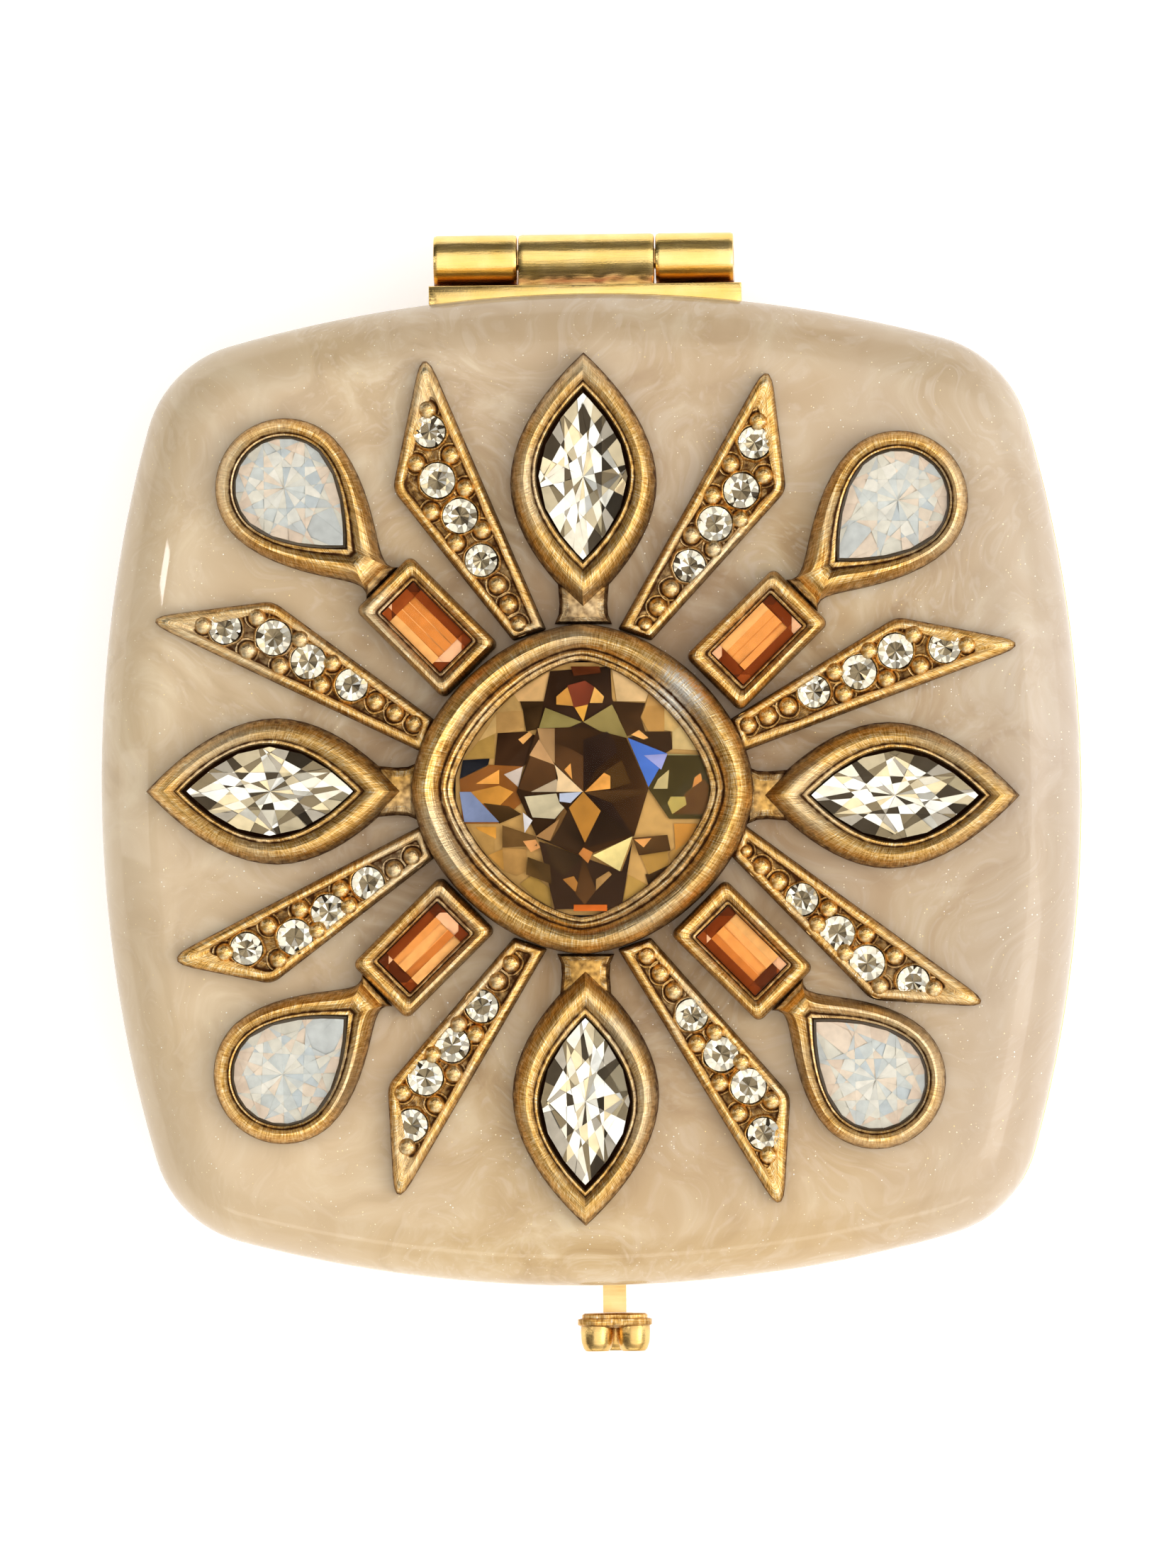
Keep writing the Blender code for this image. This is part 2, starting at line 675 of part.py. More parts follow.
def latch_slider():
    """Stem, slider block and the hook that holds the striker, as one closed (y, z) outline."""
    origin = (LATCH_X, SLIDER_BACK, LATCH_Z)
    low, high = LATCH_Z - SLIDER_HALF_HEIGHT, LATCH_Z + SLIDER_HALF_HEIGHT
    hook = [
        (HOOK_POST[0], high - 0.3),
        (HOOK_POST[0], HOOK_NOSE[0]),
        (HOOK_NOSE_FRONT, HOOK_NOSE[0]),
        (HOOK_POST[0], HOOK_NOSE[1]),
        (HOOK_POST[1], HOOK_NOSE[1]),
        (HOOK_POST[1], high - 0.3),
    ]
    span = (LATCH_X - SLIDER_HALF_WIDTH, LATCH_X + SLIDER_HALF_WIDTH)
    block = [(SLIDER_FRONT, low), (SLIDER_BACK, low), (SLIDER_BACK, high), (SLIDER_FRONT, high)]
    slider = along_x("latch_slider", block, span, "steel", origin)
    hook_span = (LATCH_X - HOOK_HALF_WIDTH, LATCH_X + HOOK_HALF_WIDTH)
    boolean(slider, along_x("hook_shape", hook, hook_span, "steel"), "UNION")
    stem_low = (LATCH_X - STEM_HALF_WIDTH, STEM_FRONT, LATCH_Z - STEM_HALF_HEIGHT)
    stem_high = (LATCH_X + STEM_HALF_WIDTH, SLIDER_FRONT + 0.5, LATCH_Z + STEM_HALF_HEIGHT)
    boolean(slider, box_tool("stem_shape", stem_low, stem_high), "UNION")


def thumb_piece():
    """Scalloped back plate with three tapered collets facing forward."""
    origin = (LATCH_X, THUMB_BACK[1], LATCH_Z)
    outline = []
    for x, z in COLLET_MIDDLES:
        turn = math.atan2(z, x)
        lobe = (THUMB_LOBE_REACH * math.cos(turn), THUMB_LOBE_REACH * math.sin(turn))
        outward = math.degrees(turn)
        outline += arc(lobe, THUMB_LOBE_RADIUS, outward + 75, outward - 75, 6)
    rings = [along_y(outline, THUMB_BACK[0]), along_y(outline, THUMB_BACK[1])]
    piece = loft("thumb_piece", rings, "antique_gold", origin=origin)
    for number, (x, z) in enumerate(COLLET_MIDDLES):
        wide = [(x + u, z + v) for u, v in circle(COLLET_RADIUS, 12)]
        narrow = [(x + u, z + v) for u, v in circle(COLLET_TIP_RADIUS, 12)]
        ends = [along_y(wide, THUMB_BACK[1] - 0.2), along_y(wide, COLLET_SHOULDER)]
        ends.append(along_y(narrow, COLLET_FRONT))
        boolean(piece, loft(f"collet_shape_{number}", ends, "steel"), "UNION")


def thumb_stones():
    """Small brilliant in the end of each collet: a short cone with a flat table."""
    for name, (x, z) in zip(("left", "right", "lower"), COLLET_MIDDLES):
        edge = [(x + u, z + v) for u, v in circle(THUMB_STONE_RADIUS, 8)]
        table = [(x + u, z + v) for u, v in circle(THUMB_TABLE_RADIUS, 8)]
        back = COLLET_FRONT - GAP
        rings = [along_y(edge, back), along_y(table, THUMB_STONE_FRONT)]
        loft(f"thumb_stone_{name}", rings, "clear_glass", origin=(LATCH_X + x, back, LATCH_Z + z))


def latch_guide():
    """Channel on the base's floor that the slider runs in, with a back wall for the spring."""
    half = GUIDE_HALF_WIDTH
    channel = SLIDER_HALF_WIDTH + 0.1
    foot = FLOOR
    section = [
        (-half, foot),
        (half, foot),
        (half, GUIDE_TOP),
        (channel, GUIDE_TOP),
        (channel, GUIDE_FLOOR),
        (-channel, GUIDE_FLOOR),
        (-channel, GUIDE_TOP),
        (-half, GUIDE_TOP),
    ]
    rings = [[(LATCH_X + x, y, z) for x, z in section] for y in (GUIDE_FRONT, GUIDE_BACK[1])]
    guide = loft("latch_guide", rings, "brass")
    low = (LATCH_X - half, GUIDE_BACK[0], foot + 1)
    boolean(guide, box_tool("guide_back", low, (LATCH_X + half, GUIDE_BACK[1], GUIDE_TOP)), "UNION")


def latch_spring():
    """Open coil between the slider and the back of its guide."""
    start = SLIDER_BACK + SPRING_WIRE + GAP
    end = GUIDE_BACK[0] - SPRING_WIRE - GAP
    per_turn = 10
    steps = SPRING_TURNS * per_turn
    rings = []
    for i in range(steps + 1):
        turn = 2 * math.pi * i / per_turn
        y = start + (end - start) * i / steps
        ring = []
        for j in range(5):
            around = 2 * math.pi * j / 5
            radius = SPRING_RADIUS + SPRING_WIRE * math.cos(around)
            x = LATCH_X + radius * math.cos(turn)
            z = LATCH_Z + radius * math.sin(turn)
            ring.append((x, y + SPRING_WIRE * math.sin(around), z))
        rings.append(ring)
    loft("latch_spring", rings, "steel", origin=(LATCH_X, end, LATCH_Z))


def striker():
    """Ledge on the inside of the lid's front wall that the hook holds."""
    bow = 0.1  # the curved wall falls back this much over the striker's width
    wall = -(HALF_DEPTH - ENAMEL - SHELL - 2 * GAP - bow)
    profile = [
        (wall, LID_BOTTOM + 0.3),
        (wall + STRIKER_TAB, LID_BOTTOM + 0.3),
        (wall + STRIKER_TAB, STRIKER_Z[0]),
        (STRIKER_FRONT, STRIKER_Z[0]),
        (STRIKER_FRONT, STRIKER_Z[1]),
        (wall, STRIKER_Z[1]),
    ]
    span = (LATCH_X - STRIKER_HALF_WIDTH, LATCH_X + STRIKER_HALF_WIDTH)
    along_x("lid_striker", profile, span, "steel")


# ---------------------------------------------------------------- ornament


def seated(points):
    """Plan points of the ornament, moved to where it sits on the lid."""
    return placed(points, (ORNAMENT_SHIFT, 0.0), ORNAMENT_TURN)


def draped(points, height):
    """Plan points of the ornament, at a height above the lid's dome."""
    return [(x, y, lid_top(x, y) + ORNAMENT_GAP + height) for x, y in seated(points)]


def setting(name, outer, inner, heights):
    """Cast cup round a stone. heights lists (share of the way from outer to inner, height)."""
    rings = [draped([middle_of(outer)], 0.0)]
    rings += [draped(blend(outer, inner, share), height) for share, height in heights]
    rings.append(draped([middle_of(inner)], heights[-1][1]))
    loft(name, rings, "antique_gold", origin=rings[0][0])


def stone(name, girdle, table_scale, heights, material_name):
    """Cut stone: flat underside, girdle and sloping crown up to a table."""
    low, edge, top = heights
    girdle = seated(girdle)
    middle = middle_of(girdle)
    table = blend(girdle, [middle] * len(girdle), 1 - table_scale)
    foot = blend(girdle, [middle] * len(girdle), 0.12)
    level = lid_top(*middle) + ORNAMENT_GAP
    rings = [at(foot, level + low), at(girdle, level + edge), at(table, level + top)]
    loft(name, rings, material_name, origin=(*middle, level + low))


def center_piece():
    outer = rounded_diamond(*CENTER_BEZEL)
    inner = rounded_diamond(*CENTER_OPENING)
    setting("center_bezel", outer, inner, CENTER_SECTION)
    reach, flat = CENTER_STONE_REACH, CENTER_STONE_FLAT
    side = (reach + flat) / 2 + CENTER_STONE_BULGE
    octant = [(reach, -flat), (reach, flat), (side, side)]
    girdle = [p for quarter in range(4) for p in placed(octant, (0, 0), 90 * quarter)]
    stone("center_stone", girdle, 0.62, CENTER_STONE_Z, "topaz_glass")


def navettes():
    for name, angle in COMPASS.items():
        shift = NAVETTE_SHIFT[name]
        upright = name in ("north", "south")
        origin = (shift, 0.0) if upright else (0.0, shift)
        plan = navette_setting(CENTER_BEZEL[upright] + NAVETTE_NECK_GAP)
        outer = placed(plan, origin, angle)
        inner = placed(opening_like(plan, NAVETTE_OPENING), origin, angle)
        setting(f"navette_bezel_{name}", outer, inner, NAVETTE_SECTION)
        girdle = placed(navette(*NAVETTE_STONE, steps=6), origin, angle)
        stone(f"navette_stone_{name}", girdle, 0.55, NAVETTE_STONE_Z, "clear_glass")


def opening_like(outer, opening):
    """A pointed opening with one point for each point of the setting's outline."""
    middle, half_length, half_width = opening
    first = min(p[0] for p in outer)
    last = max(p[0] for p in outer)
    points = []
    for along, across in outer:
        place = 2 * (along - first) / (last - first) - 1
        side = math.copysign(1.0, across) if abs(across) > 1e-6 else 0.0
        half = half_width * max(leaf_half_width(place), OPENING_TIP)
        points.append((middle + half_length * place, side * half))
    return points


def diagonals():
    for name, (baguette, round_end) in DIAGONALS.items():
        inward = math.degrees(math.atan2(-baguette[1], -baguette[0]))
        turn = 45 * round(inward / 45)
        baguette_setting(name, baguette, turn)
        tail_turn = math.degrees(math.atan2(baguette[1] - round_end[1], baguette[0] - round_end[0]))
        tail = math.dist(baguette, round_end) - BAGUETTE_HALF[0] - PEAR_TAIL_GAP
        pear_setting(name, round_end, tail, tail_turn)


def baguette_setting(name, middle, turn):
    outer = placed(cut_rectangle(*BAGUETTE_HALF, 0.35), middle, turn)
    inner = placed(cut_rectangle(*BAGUETTE_OPENING, 0.2), middle, turn)
    setting(f"baguette_bezel_{name}", outer, inner, BAGUETTE_SECTION)
    girdle = placed(rectangle(*BAGUETTE_STONE), middle, turn)
    stone(f"baguette_stone_{name}", girdle, 0.6, BAGUETTE_STONE_Z, "amber_glass")


def pear_setting(name, middle, tail, turn):
    outer = placed(pear(PEAR_RADIUS, tail, PEAR_TAIL_HALF_WIDTH), middle, turn)
    inner = placed(pear(*PEAR_OPENING, PEAR_OPENING_TIP), middle, turn)
    setting(f"pear_bezel_{name}", outer, inner, PEAR_SECTION)
    girdle = placed(pear(*PEAR_STONE, steps=7), middle, turn)
    stone(f"pear_stone_{name}", girdle, 0.55, PEAR_STONE_Z, "opal_glass")


def rays():
    for name, (tip, shoulder) in RAYS.items():
        tip_angle = math.degrees(math.atan2(tip[1], tip[0]))
        cardinal = 90 * round(tip_angle / 90)
        side = math.copysign(1.0, tip_angle - cardinal)
        root_angle = math.radians(cardinal + side * RAY_INNER_ANGLE)
        root = Vector((math.cos(root_angle), math.sin(root_angle))) * RAY_INNER_DISTANCE
        across = Vector((-math.sin(root_angle), math.cos(root_angle))) * side * RAY_INNER_HALF_WIDTH
        inner_near, inner_far = root - across, root + across
        outline = [tip, tuple(inner_near), tuple(inner_far), shoulder]
        ray_plate(f"ray_{name}", outline)


def ray_plate(name, outline):
    """Kite-shaped plate with a raised rim round a sunk bed."""
    middle = middle_of(outline)
    rings = [draped([middle], 0.0)]
    for share, height in RAY_SECTION:
        rings.append(draped(blend(outline, [middle] * len(outline), share), height))
    rings.append(draped([middle], RAY_HEIGHT - RAY_BED))
    loft(name, rings, "antique_gold", origin=rings[0][0])


def main():
    clear_scene()
    base_enamel()
    base_shell()
    inner_plate()
    powder_pan()
    pressed_powder()
    puff()
    puff_ribbon()
    base_knuckles()
    hinge_pin()
    latch_guide()
    latch_spring()
    latch_slider()
    thumb_piece()
    thumb_stones()
    lid_enamel()
    lid_shell()
    mirror()
    mirror_frame()
    lid_knuckle()
    striker()
    center_piece()
    navettes()
    diagonals()
    rays()


main()
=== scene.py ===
"""Looks of the jewelled powder compact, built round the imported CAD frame.

Lengths below are in millimetres and become metres when a mesh is made. +Y points to the hinge and -Y to the
latch. The case is shut at rest. A piece of the ornament is first made flat, with its height above the enamel
as z, and is then turned, moved and draped on the lid's dome.
"""

import json
import math
import random

import bmesh
import bpy
from mathutils import Matrix, Vector, noise
from mathutils.bvhtree import BVHTree


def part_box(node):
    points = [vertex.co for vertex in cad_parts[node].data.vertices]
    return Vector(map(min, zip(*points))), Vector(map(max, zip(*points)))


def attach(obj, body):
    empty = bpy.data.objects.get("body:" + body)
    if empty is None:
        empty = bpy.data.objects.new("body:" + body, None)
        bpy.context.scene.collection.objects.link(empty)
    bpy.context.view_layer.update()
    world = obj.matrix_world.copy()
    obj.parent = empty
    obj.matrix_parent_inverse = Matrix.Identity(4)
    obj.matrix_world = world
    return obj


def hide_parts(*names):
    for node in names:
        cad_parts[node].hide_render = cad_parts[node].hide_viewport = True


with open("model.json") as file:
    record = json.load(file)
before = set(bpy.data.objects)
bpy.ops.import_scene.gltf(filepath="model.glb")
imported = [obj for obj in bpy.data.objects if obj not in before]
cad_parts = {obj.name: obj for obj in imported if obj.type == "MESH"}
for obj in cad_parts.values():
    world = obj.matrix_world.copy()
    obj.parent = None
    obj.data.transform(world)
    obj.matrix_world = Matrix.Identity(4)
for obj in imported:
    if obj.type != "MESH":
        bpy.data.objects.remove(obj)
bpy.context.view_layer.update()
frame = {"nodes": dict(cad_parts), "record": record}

MM = 0.001


def box_of(node):
    low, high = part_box(node)
    return low / MM, high / MM


# ---------------------------------------------------------------- sizes

# The case. Its outline has four long side arcs and four corner arcs.
LID_LOW, LID_HIGH = box_of("lid_enamel")
BASE_HIGH = box_of("base_enamel")[1]
LID_SHELL_LOW, LID_SHELL_HIGH = box_of("lid_shell")
BASE_SHELL_HIGH = box_of("base_shell")[1]
HALF_WIDTH = LID_HIGH.x
HALF_DEPTH = LID_HIGH.y
SIDE_RADIUS = 85.0
CORNER_RADIUS = 7.5
SIDE_STEPS = 16
CORNER_STEPS = 12
ENAMEL = 0.8
SHELL = 0.7
SHELL_GAP = 0.05
RIM_PROUD = LID_SHELL_HIGH.x - HALF_WIDTH
RIM_HEIGHT = 0.65
RIM_ROUNDING = 0.15
EDGE_ROUNDING = 0.12
DOME_RISE = 0.9
DOME_RADIUS = 38.0
ROLL_WIDTH = 4.2
ROLL_HEIGHT = 3.7
ROLL_STEPS = 18
BASE_ROLL = 3.6

# The latch.
STEM_HALF_WIDTH = 0.73
STEM_HALF_HEIGHT = 0.5
SLOT_GAP = 0.2
THUMB_LOW, THUMB_HIGH = box_of("thumb_piece")
LATCH_X = (THUMB_LOW.x + THUMB_HIGH.x) / 2
LATCH_Z = 6.3

# The hinge.
PIN_LOW, PIN_HIGH = box_of("hinge_pin")
HINGE_Y = (PIN_LOW.y + PIN_HIGH.y) / 2
HINGE_Z = (PIN_LOW.z + PIN_HIGH.z) / 2
BARREL_RADIUS = 1.6
BORE_RADIUS = 0.72
KNUCKLE_ROUNDING = 0.22
LEAF_LOW, LEAF_HIGH = box_of("hinge_barrel_lid")
LEAF_INNER = LEAF_LOW.y
LEAF_THICKNESS = 0.5
LEAF_CLEARANCE = 0.02
BASE_LEAF_Z = (4.4, 5.6, 7.3)  # bottom edge, top of its outer face, top of its inner face
LID_BARREL = (-4.25, 4.35)
SWEEP_MIDDLE = (0.45, 12.2)  # behind the pin, and above the table
SWEEP_RADIUS = 2.45

# The ornament.
CENTER_LOW, CENTER_HIGH = box_of("center_bezel")
ORNAMENT_X = (CENTER_LOW.x + CENTER_HIGH.x) / 2
ORNAMENT_TURN = -0.7
ORNAMENT_GAP = 0.1
CENTER_BEZEL = (10.8, 10.4, 1.75)  # half width, half depth, power of the rounded diamond
CENTER_OPENING = (8.75, 8.65, 1.6)
CENTER_REACH = 8.05
CENTER_FLAT = 1.95
CENTER_BULGE = 0.35
NAVETTE_MIDDLE = 19.3
NAVETTE_HALF_WIDTH = 4.62
NAVETTE_OUTER = 8.25
NAVETTE_INNER = 8.0
NAVETTE_OPENING = (19.8, 5.6, 3.03)  # middle, half length, half width
NAVETTE_STONE = (19.7, 5.25, 2.8)
NAVETTE_POWER = 1.92
BAGUETTE_HALF = (3.95, 2.45)
BAGUETTE_OPENING = (2.7, 1.48)
PEAR_RADIUS = 4.4
PEAR_TAIL_GAP = 0.12
PEAR_TAIL_HALF_WIDTH = 1.15
PEAR_OPENING = (3.3, 5.6)
RAY_INNER_DISTANCE = 10.85
RAY_INNER_ANGLE = 19.1
RAY_INNER_HALF_WIDTH = 1.1
RAY_ROOT_REACH = 0.6  # carries the root up to the middle setting
RAY_TIP_ROUNDING = 1.0
RAY_TIP_SHARPENING = 1.15  # how far the sharp corner lies beyond the tip, per unit of rounding
RAY_TIP_CURVE = 2.1  # how far the rounding reaches along the sides, per unit of rounding
RAY_SOLID_TIP = 0.9  # further than the rim that the bed starts behind the tip
RAY_RIM = 0.6
RAY_EDGE = 0.3  # least metal between a bead or a stone and the side
RAY_HEIGHT = 1.3
RAY_BED = 1.0
COMPASS = {"north": 90.0, "west": 180.0, "south": 270.0, "east": 0.0}
NAVETTE_SHIFT = {"north": 0.05, "west": -0.15, "south": 0.2, "east": -0.4}
DIAGONALS = {  # middles of the baguette setting and of the pear's round end
    "northwest": ((-9.8, 10.2), (-18.8, 19.0)),
    "northeast": ((11.0, 9.4), (19.9, 18.2)),
    "southwest": ((-10.0, -10.0), (-18.9, -18.0)),
    "southeast": ((10.05, -10.2), (18.5, -18.3)),
}
# Tip and shoulder of each ray. 11 of these 16 points are the output of a script that turned places picked in
# the reference photograph into millimetres.
RAYS = {
    "north_northwest": ((-9.84, 26.88), (-11.99, 18.88)),
    "north_northeast": ((11.45, 26.12), (12.84, 18.83)),
    "east_northeast": ((27.2, 8.99), (19.8, 10.85)),
    "east_southeast": ((25.05, -13.28), (18.2, -13.3)),
    "south_southeast": ((12.21, -25.99), (13.1, -19.3)),
    "south_southwest": ((-11.45, -25.5), (-12.3, -18.7)),
    "west_southwest": ((-25.5, -10.56), (-19.6, -12.3)),
    "west_northwest": ((-26.88, 10.47), (-19.55, 11.85)),
}
# Along each ray from its tip, and to the shoulder's side of its axis.
CHATONS = [(4.12, 1.37, 1.0), (7.2, 1.98, 1.1), (9.8, 1.43, 1.08), (12.9, 1.17, 1.0)]
BEADS = [
    (2.8, 1.0),
    (6.0, 0.62),
    (5.7, 2.84),
    (8.26, 0.49),
    (8.9, 3.03),
    (11.1, 0.43),
    (11.3, 2.27),
    (14.7, 0.75),
    (16.1, 0.56),
    (17.5, 0.41),
]
BEAD_RADIUS = 0.6


# ---------------------------------------------------------------- outlines, in plan


def arc_points(centre, radius, first, last, steps):
    """Points on an arc, angles in degrees, both ends included."""
    turns = [math.radians(first + (last - first) * i / steps) for i in range(steps + 1)]
    return [(centre[0] + radius * math.cos(a), centre[1] + radius * math.sin(a)) for a in turns]


def circle(radius, count=96, middle=(0.0, 0.0)):
    return arc_points(middle, radius, 0, 360, count)[:-1]


def cushion(inset):
    """Outline of the case moved in by inset, anticlockwise from the +X side's middle."""
    side_x = HALF_WIDTH - SIDE_RADIUS
    side_y = HALF_DEPTH - SIDE_RADIUS
    reach = SIDE_RADIUS - CORNER_RADIUS
    half_span = math.hypot(side_x, side_y) / 2
    along = math.sqrt(reach**2 - half_span**2) / (2 * half_span)
    corner_x = side_x / 2 - along * side_y
    corner_y = side_y / 2 - along * side_x
    first = math.degrees(math.atan2(corner_y, corner_x - side_x))
    last = math.degrees(math.atan2(corner_y - side_y, corner_x))
    radius = SIDE_RADIUS - inset
    quarter = arc_points((side_x, 0.0), radius, 0, first, SIDE_STEPS)[:-1]
    quarter += arc_points((corner_x, corner_y), CORNER_RADIUS - inset, first, last, CORNER_STEPS)[:-1]
    quarter += arc_points((0.0, side_y), radius, last, 90, SIDE_STEPS)
    half = quarter[:-1] + [(-x, y) for x, y in reversed(quarter)]
    return half[:-1] + [(-x, -y) for x, y in half[:-1]]


def rounded_diamond(half_width, half_depth, power, count=128):
    """Superellipse |x/a|^p + |y/b|^p = 1, with p under 2."""
    points = []
    for i in range(count):
        angle = 2 * math.pi * i / count
        across, up = math.cos(angle), math.sin(angle)
        size = (abs(across) ** power + abs(up) ** power) ** (-1 / power)
        points.append((half_width * across * size, half_depth * up * size))
    return points


def from_half_widths(stations):
    """Closed outline from (along, half width) stations; a station 0 wide gives one point."""
    right = [(along, -half) for along, half in stations]
    left = [(along, half) for along, half in reversed(stations)]
    points = right + left
    return [p for i, p in enumerate(points) if math.dist(p, points[i - 1]) > 1e-6]


def leaf(place):
    """Half width, as a share of the widest, at a place from -1 to 1 along a pointed leaf."""
    return 1 - abs(place) ** NAVETTE_POWER


def spread(steps):
    """Places from -1 to 1, closer together at both ends."""
    return [-math.cos(math.pi * i / steps) for i in range(steps + 1)]


def navette(middle, half_length, half_width, steps=28):
    return from_half_widths([(middle + half_length * p, half_width * leaf(p)) for p in spread(steps)])


def navette_setting(steps=28):
    stations = []
    for place in spread(steps):
        reach = NAVETTE_INNER if place < 0 else NAVETTE_OUTER
        stations.append((NAVETTE_MIDDLE + reach * place, NAVETTE_HALF_WIDTH * leaf(place)))
    return from_half_widths(stations)


def pear(radius, tail, tail_half_width=0.0, steps=28):
    """Round end on the far side of the origin, tail towards +X."""
    stations = []
    for place in spread(steps):
        if place < 0:
            stations.append((radius * place, radius * math.sqrt(1 - place**2)))
        else:
            half = radius * (1 - place**1.75)
            stations.append((tail * place, math.hypot(half, tail_half_width * place**3)))
    return from_half_widths(stations)


def rounded_rectangle(half_length, half_width, radius, steps=4):
    points = []
    for turn, (x, y) in zip((270, 0, 90, 180), ((1, -1), (1, 1), (-1, 1), (-1, -1))):
        middle = (x * (half_length - radius), y * (half_width - radius))
        points += arc_points(middle, radius, turn, turn + 90, steps)
    return points


def center_girdle(inset=0.0, bulge=CENTER_BULGE):
    """Outline of the centre stone: four flats joined by long, slightly bulged diagonals."""
    reach = CENTER_REACH - inset
    side = (reach + CENTER_FLAT) / 2 + bulge
    octant = [(reach, -CENTER_FLAT), (reach, CENTER_FLAT), (side, side)]
    return [p for quarter in range(4) for p in placed(octant, (0, 0), 90 * quarter)]


def placed(points, origin, angle):
    """Turns plan points by angle (degrees) and moves them to origin."""
    c, s = math.cos(math.radians(angle)), math.sin(math.radians(angle))
    return [(origin[0] + c * x - s * y, origin[1] + s * x + c * y) for x, y in points]


def at(points, z):
    return [(x, y, z) for x, y in points]


def blend(outer, inner, share):
    return [(x + (u - x) * share, y + (v - y) * share) for (x, y), (u, v) in zip(outer, inner)]


def middle_of(points):
    return sum(p[0] for p in points) / len(points), sum(p[1] for p in points) / len(points)


# ---------------------------------------------------------------- meshes


def skin(bm, rings, closed=False, patina_and_shade=None, caps=True):
    """Faces through rings of equally many points. A ring of one point is a pole; open ends get flat caps.

    UVs run round the ring and across it, in millimetres. patina_and_shade gives each ring's share of
    darkening, which is tarnish on most pieces and painted shade on a few, or a list with one share for each
    of its points.
    """
    tarnish_and_shade = bm.verts.layers.float.get("patina_and_shade") or bm.verts.layers.float.new("patina_and_shade")
    flow = bm.loops.layers.uv.verify()
    rows = [[bm.verts.new(point) for point in ring] for ring in rings]
    for row, shares in zip(rows, patina_and_shade or [0.0] * len(rows)):
        for i, vert in enumerate(row):
            vert[tarnish_and_shade] = shares[i] if isinstance(shares, list) else shares
    widest = max(rows, key=len)
    count = len(widest)
    around = [0.0]
    for i in range(count):
        around.append(around[-1] + (widest[i].co - widest[(i + 1) % count].co).length)
    across = 0.0
    pairs = list(zip(rows, rows[1:])) + ([(rows[-1], rows[0])] if closed else [])
    for low, high in pairs:
        step = (low[0].co - high[0].co).length
        for i in range(count):
            j = (i + 1) % count
            corners = [(low, i, 0), (low, j, 1), (high, j, 1), (high, i, 0)]
            if len(low) == 1:
                corners = [(low, 0, 0), (high, j, 1), (high, i, 0)]
            elif len(high) == 1:
                corners = [(low, i, 0), (low, j, 1), (high, 0, 0)]
            face = bm.faces.new([row[k] for row, k, _ in corners])
            for loop, (row, _, ahead) in zip(face.loops, corners):
                loop[flow].uv = (around[i + ahead], across + (step if row is high else 0.0))
        across += step
    for row in (rows[0], rows[-1]):
        if caps and not closed and len(row) > 1:
            bm.faces.new(row)


def linked(name, bm, scale=MM):
    """Makes an object from a bmesh in millimetres, which it uses up."""
    bmesh.ops.recalc_face_normals(bm, faces=bm.faces)
    bmesh.ops.scale(bm, vec=(scale,) * 3, verts=bm.verts)
    mesh = bpy.data.meshes.new(name)
    bm.to_mesh(mesh)
    bm.free()
    obj = bpy.data.objects.new(name, mesh)
    bpy.context.scene.collection.objects.link(obj)
    return obj


def piece(name, bm, slot, body, nodes=(), finish=None, sharp=40.0):
    """A finished piece of the model. sharp is the crease angle; 0 keeps every facet flat."""
    obj = linked(name, bm)
    if sharp:
        obj.data.shade_smooth()
        obj.data.set_sharp_from_angle(angle=math.radians(sharp))
    obj.data.materials.append(finish or finishes[slot])
    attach(obj, body)
    if nodes:
        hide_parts(*nodes)
    return obj


def solid(name, rings, slot, body, nodes=(), closed=False, patina_and_shade=None, sharp=40.0):
    """A piece made of one skin."""
    bm = bmesh.new()
    skin(bm, rings, closed, patina_and_shade)
    return piece(name, bm, slot, body, nodes, sharp=sharp)


def add_ball(bm, middle, radius, squash=1.0, patina_foot=0.0):
    """A ball with its pole up; its lower half carries patina."""
    rings, shares = [], []
    for i in range(9):
        angle = math.pi * (i / 8 - 0.5)
        size = radius * math.cos(angle)
        z = middle[2] + radius * squash * math.sin(angle)
        rings.append(at(circle(size, 14, middle[:2]), z) if 0 < i < 8 else [(middle[0], middle[1], z)])
        shares.append(patina_foot * max(0.0, 0.55 - math.sin(angle)))
    skin(bm, rings, patina_and_shade=shares)


# ---------------------------------------------------------------- placing on the lid


def seated(x, y):
    """Where a plan point of the ornament sits on the lid."""
    c, s = math.cos(math.radians(ORNAMENT_TURN)), math.sin(math.radians(ORNAMENT_TURN))
    return ORNAMENT_X + c * x - s * y, s * x + c * y


def enamel_top(x, y):
    return LID_HIGH.z - DOME_RISE * (x * x + y * y) / DOME_RADIUS**2


def drape(bm):
    for vert in bm.verts:
        x, y = seated(vert.co.x, vert.co.y)
        vert.co = (x, y, enamel_top(x, y) + ORNAMENT_GAP + vert.co.z)
    return bm


def moved(bm, to, turn, axis="Z"):
    """Turns a bmesh about an axis through the origin (degrees), then moves it."""
    bmesh.ops.rotate(bm, verts=bm.verts, matrix=Matrix.Rotation(math.radians(turn), 3, axis))
    bmesh.ops.translate(bm, verts=bm.verts, vec=to)
    return bm


def place(bm, origin, turn):
    return drape(moved(bm, (*origin, 0.0), turn))


# ---------------------------------------------------------------- materials


def srgb(red, green, blue):
    """A colour given as seen on screen, 0 to 255, made linear."""
    shares = [channel / 255 for channel in (red, green, blue)]
    return (*[s / 12.92 if s <= 0.04045 else ((s + 0.055) / 1.055) ** 2.4 for s in shares], 1.0)


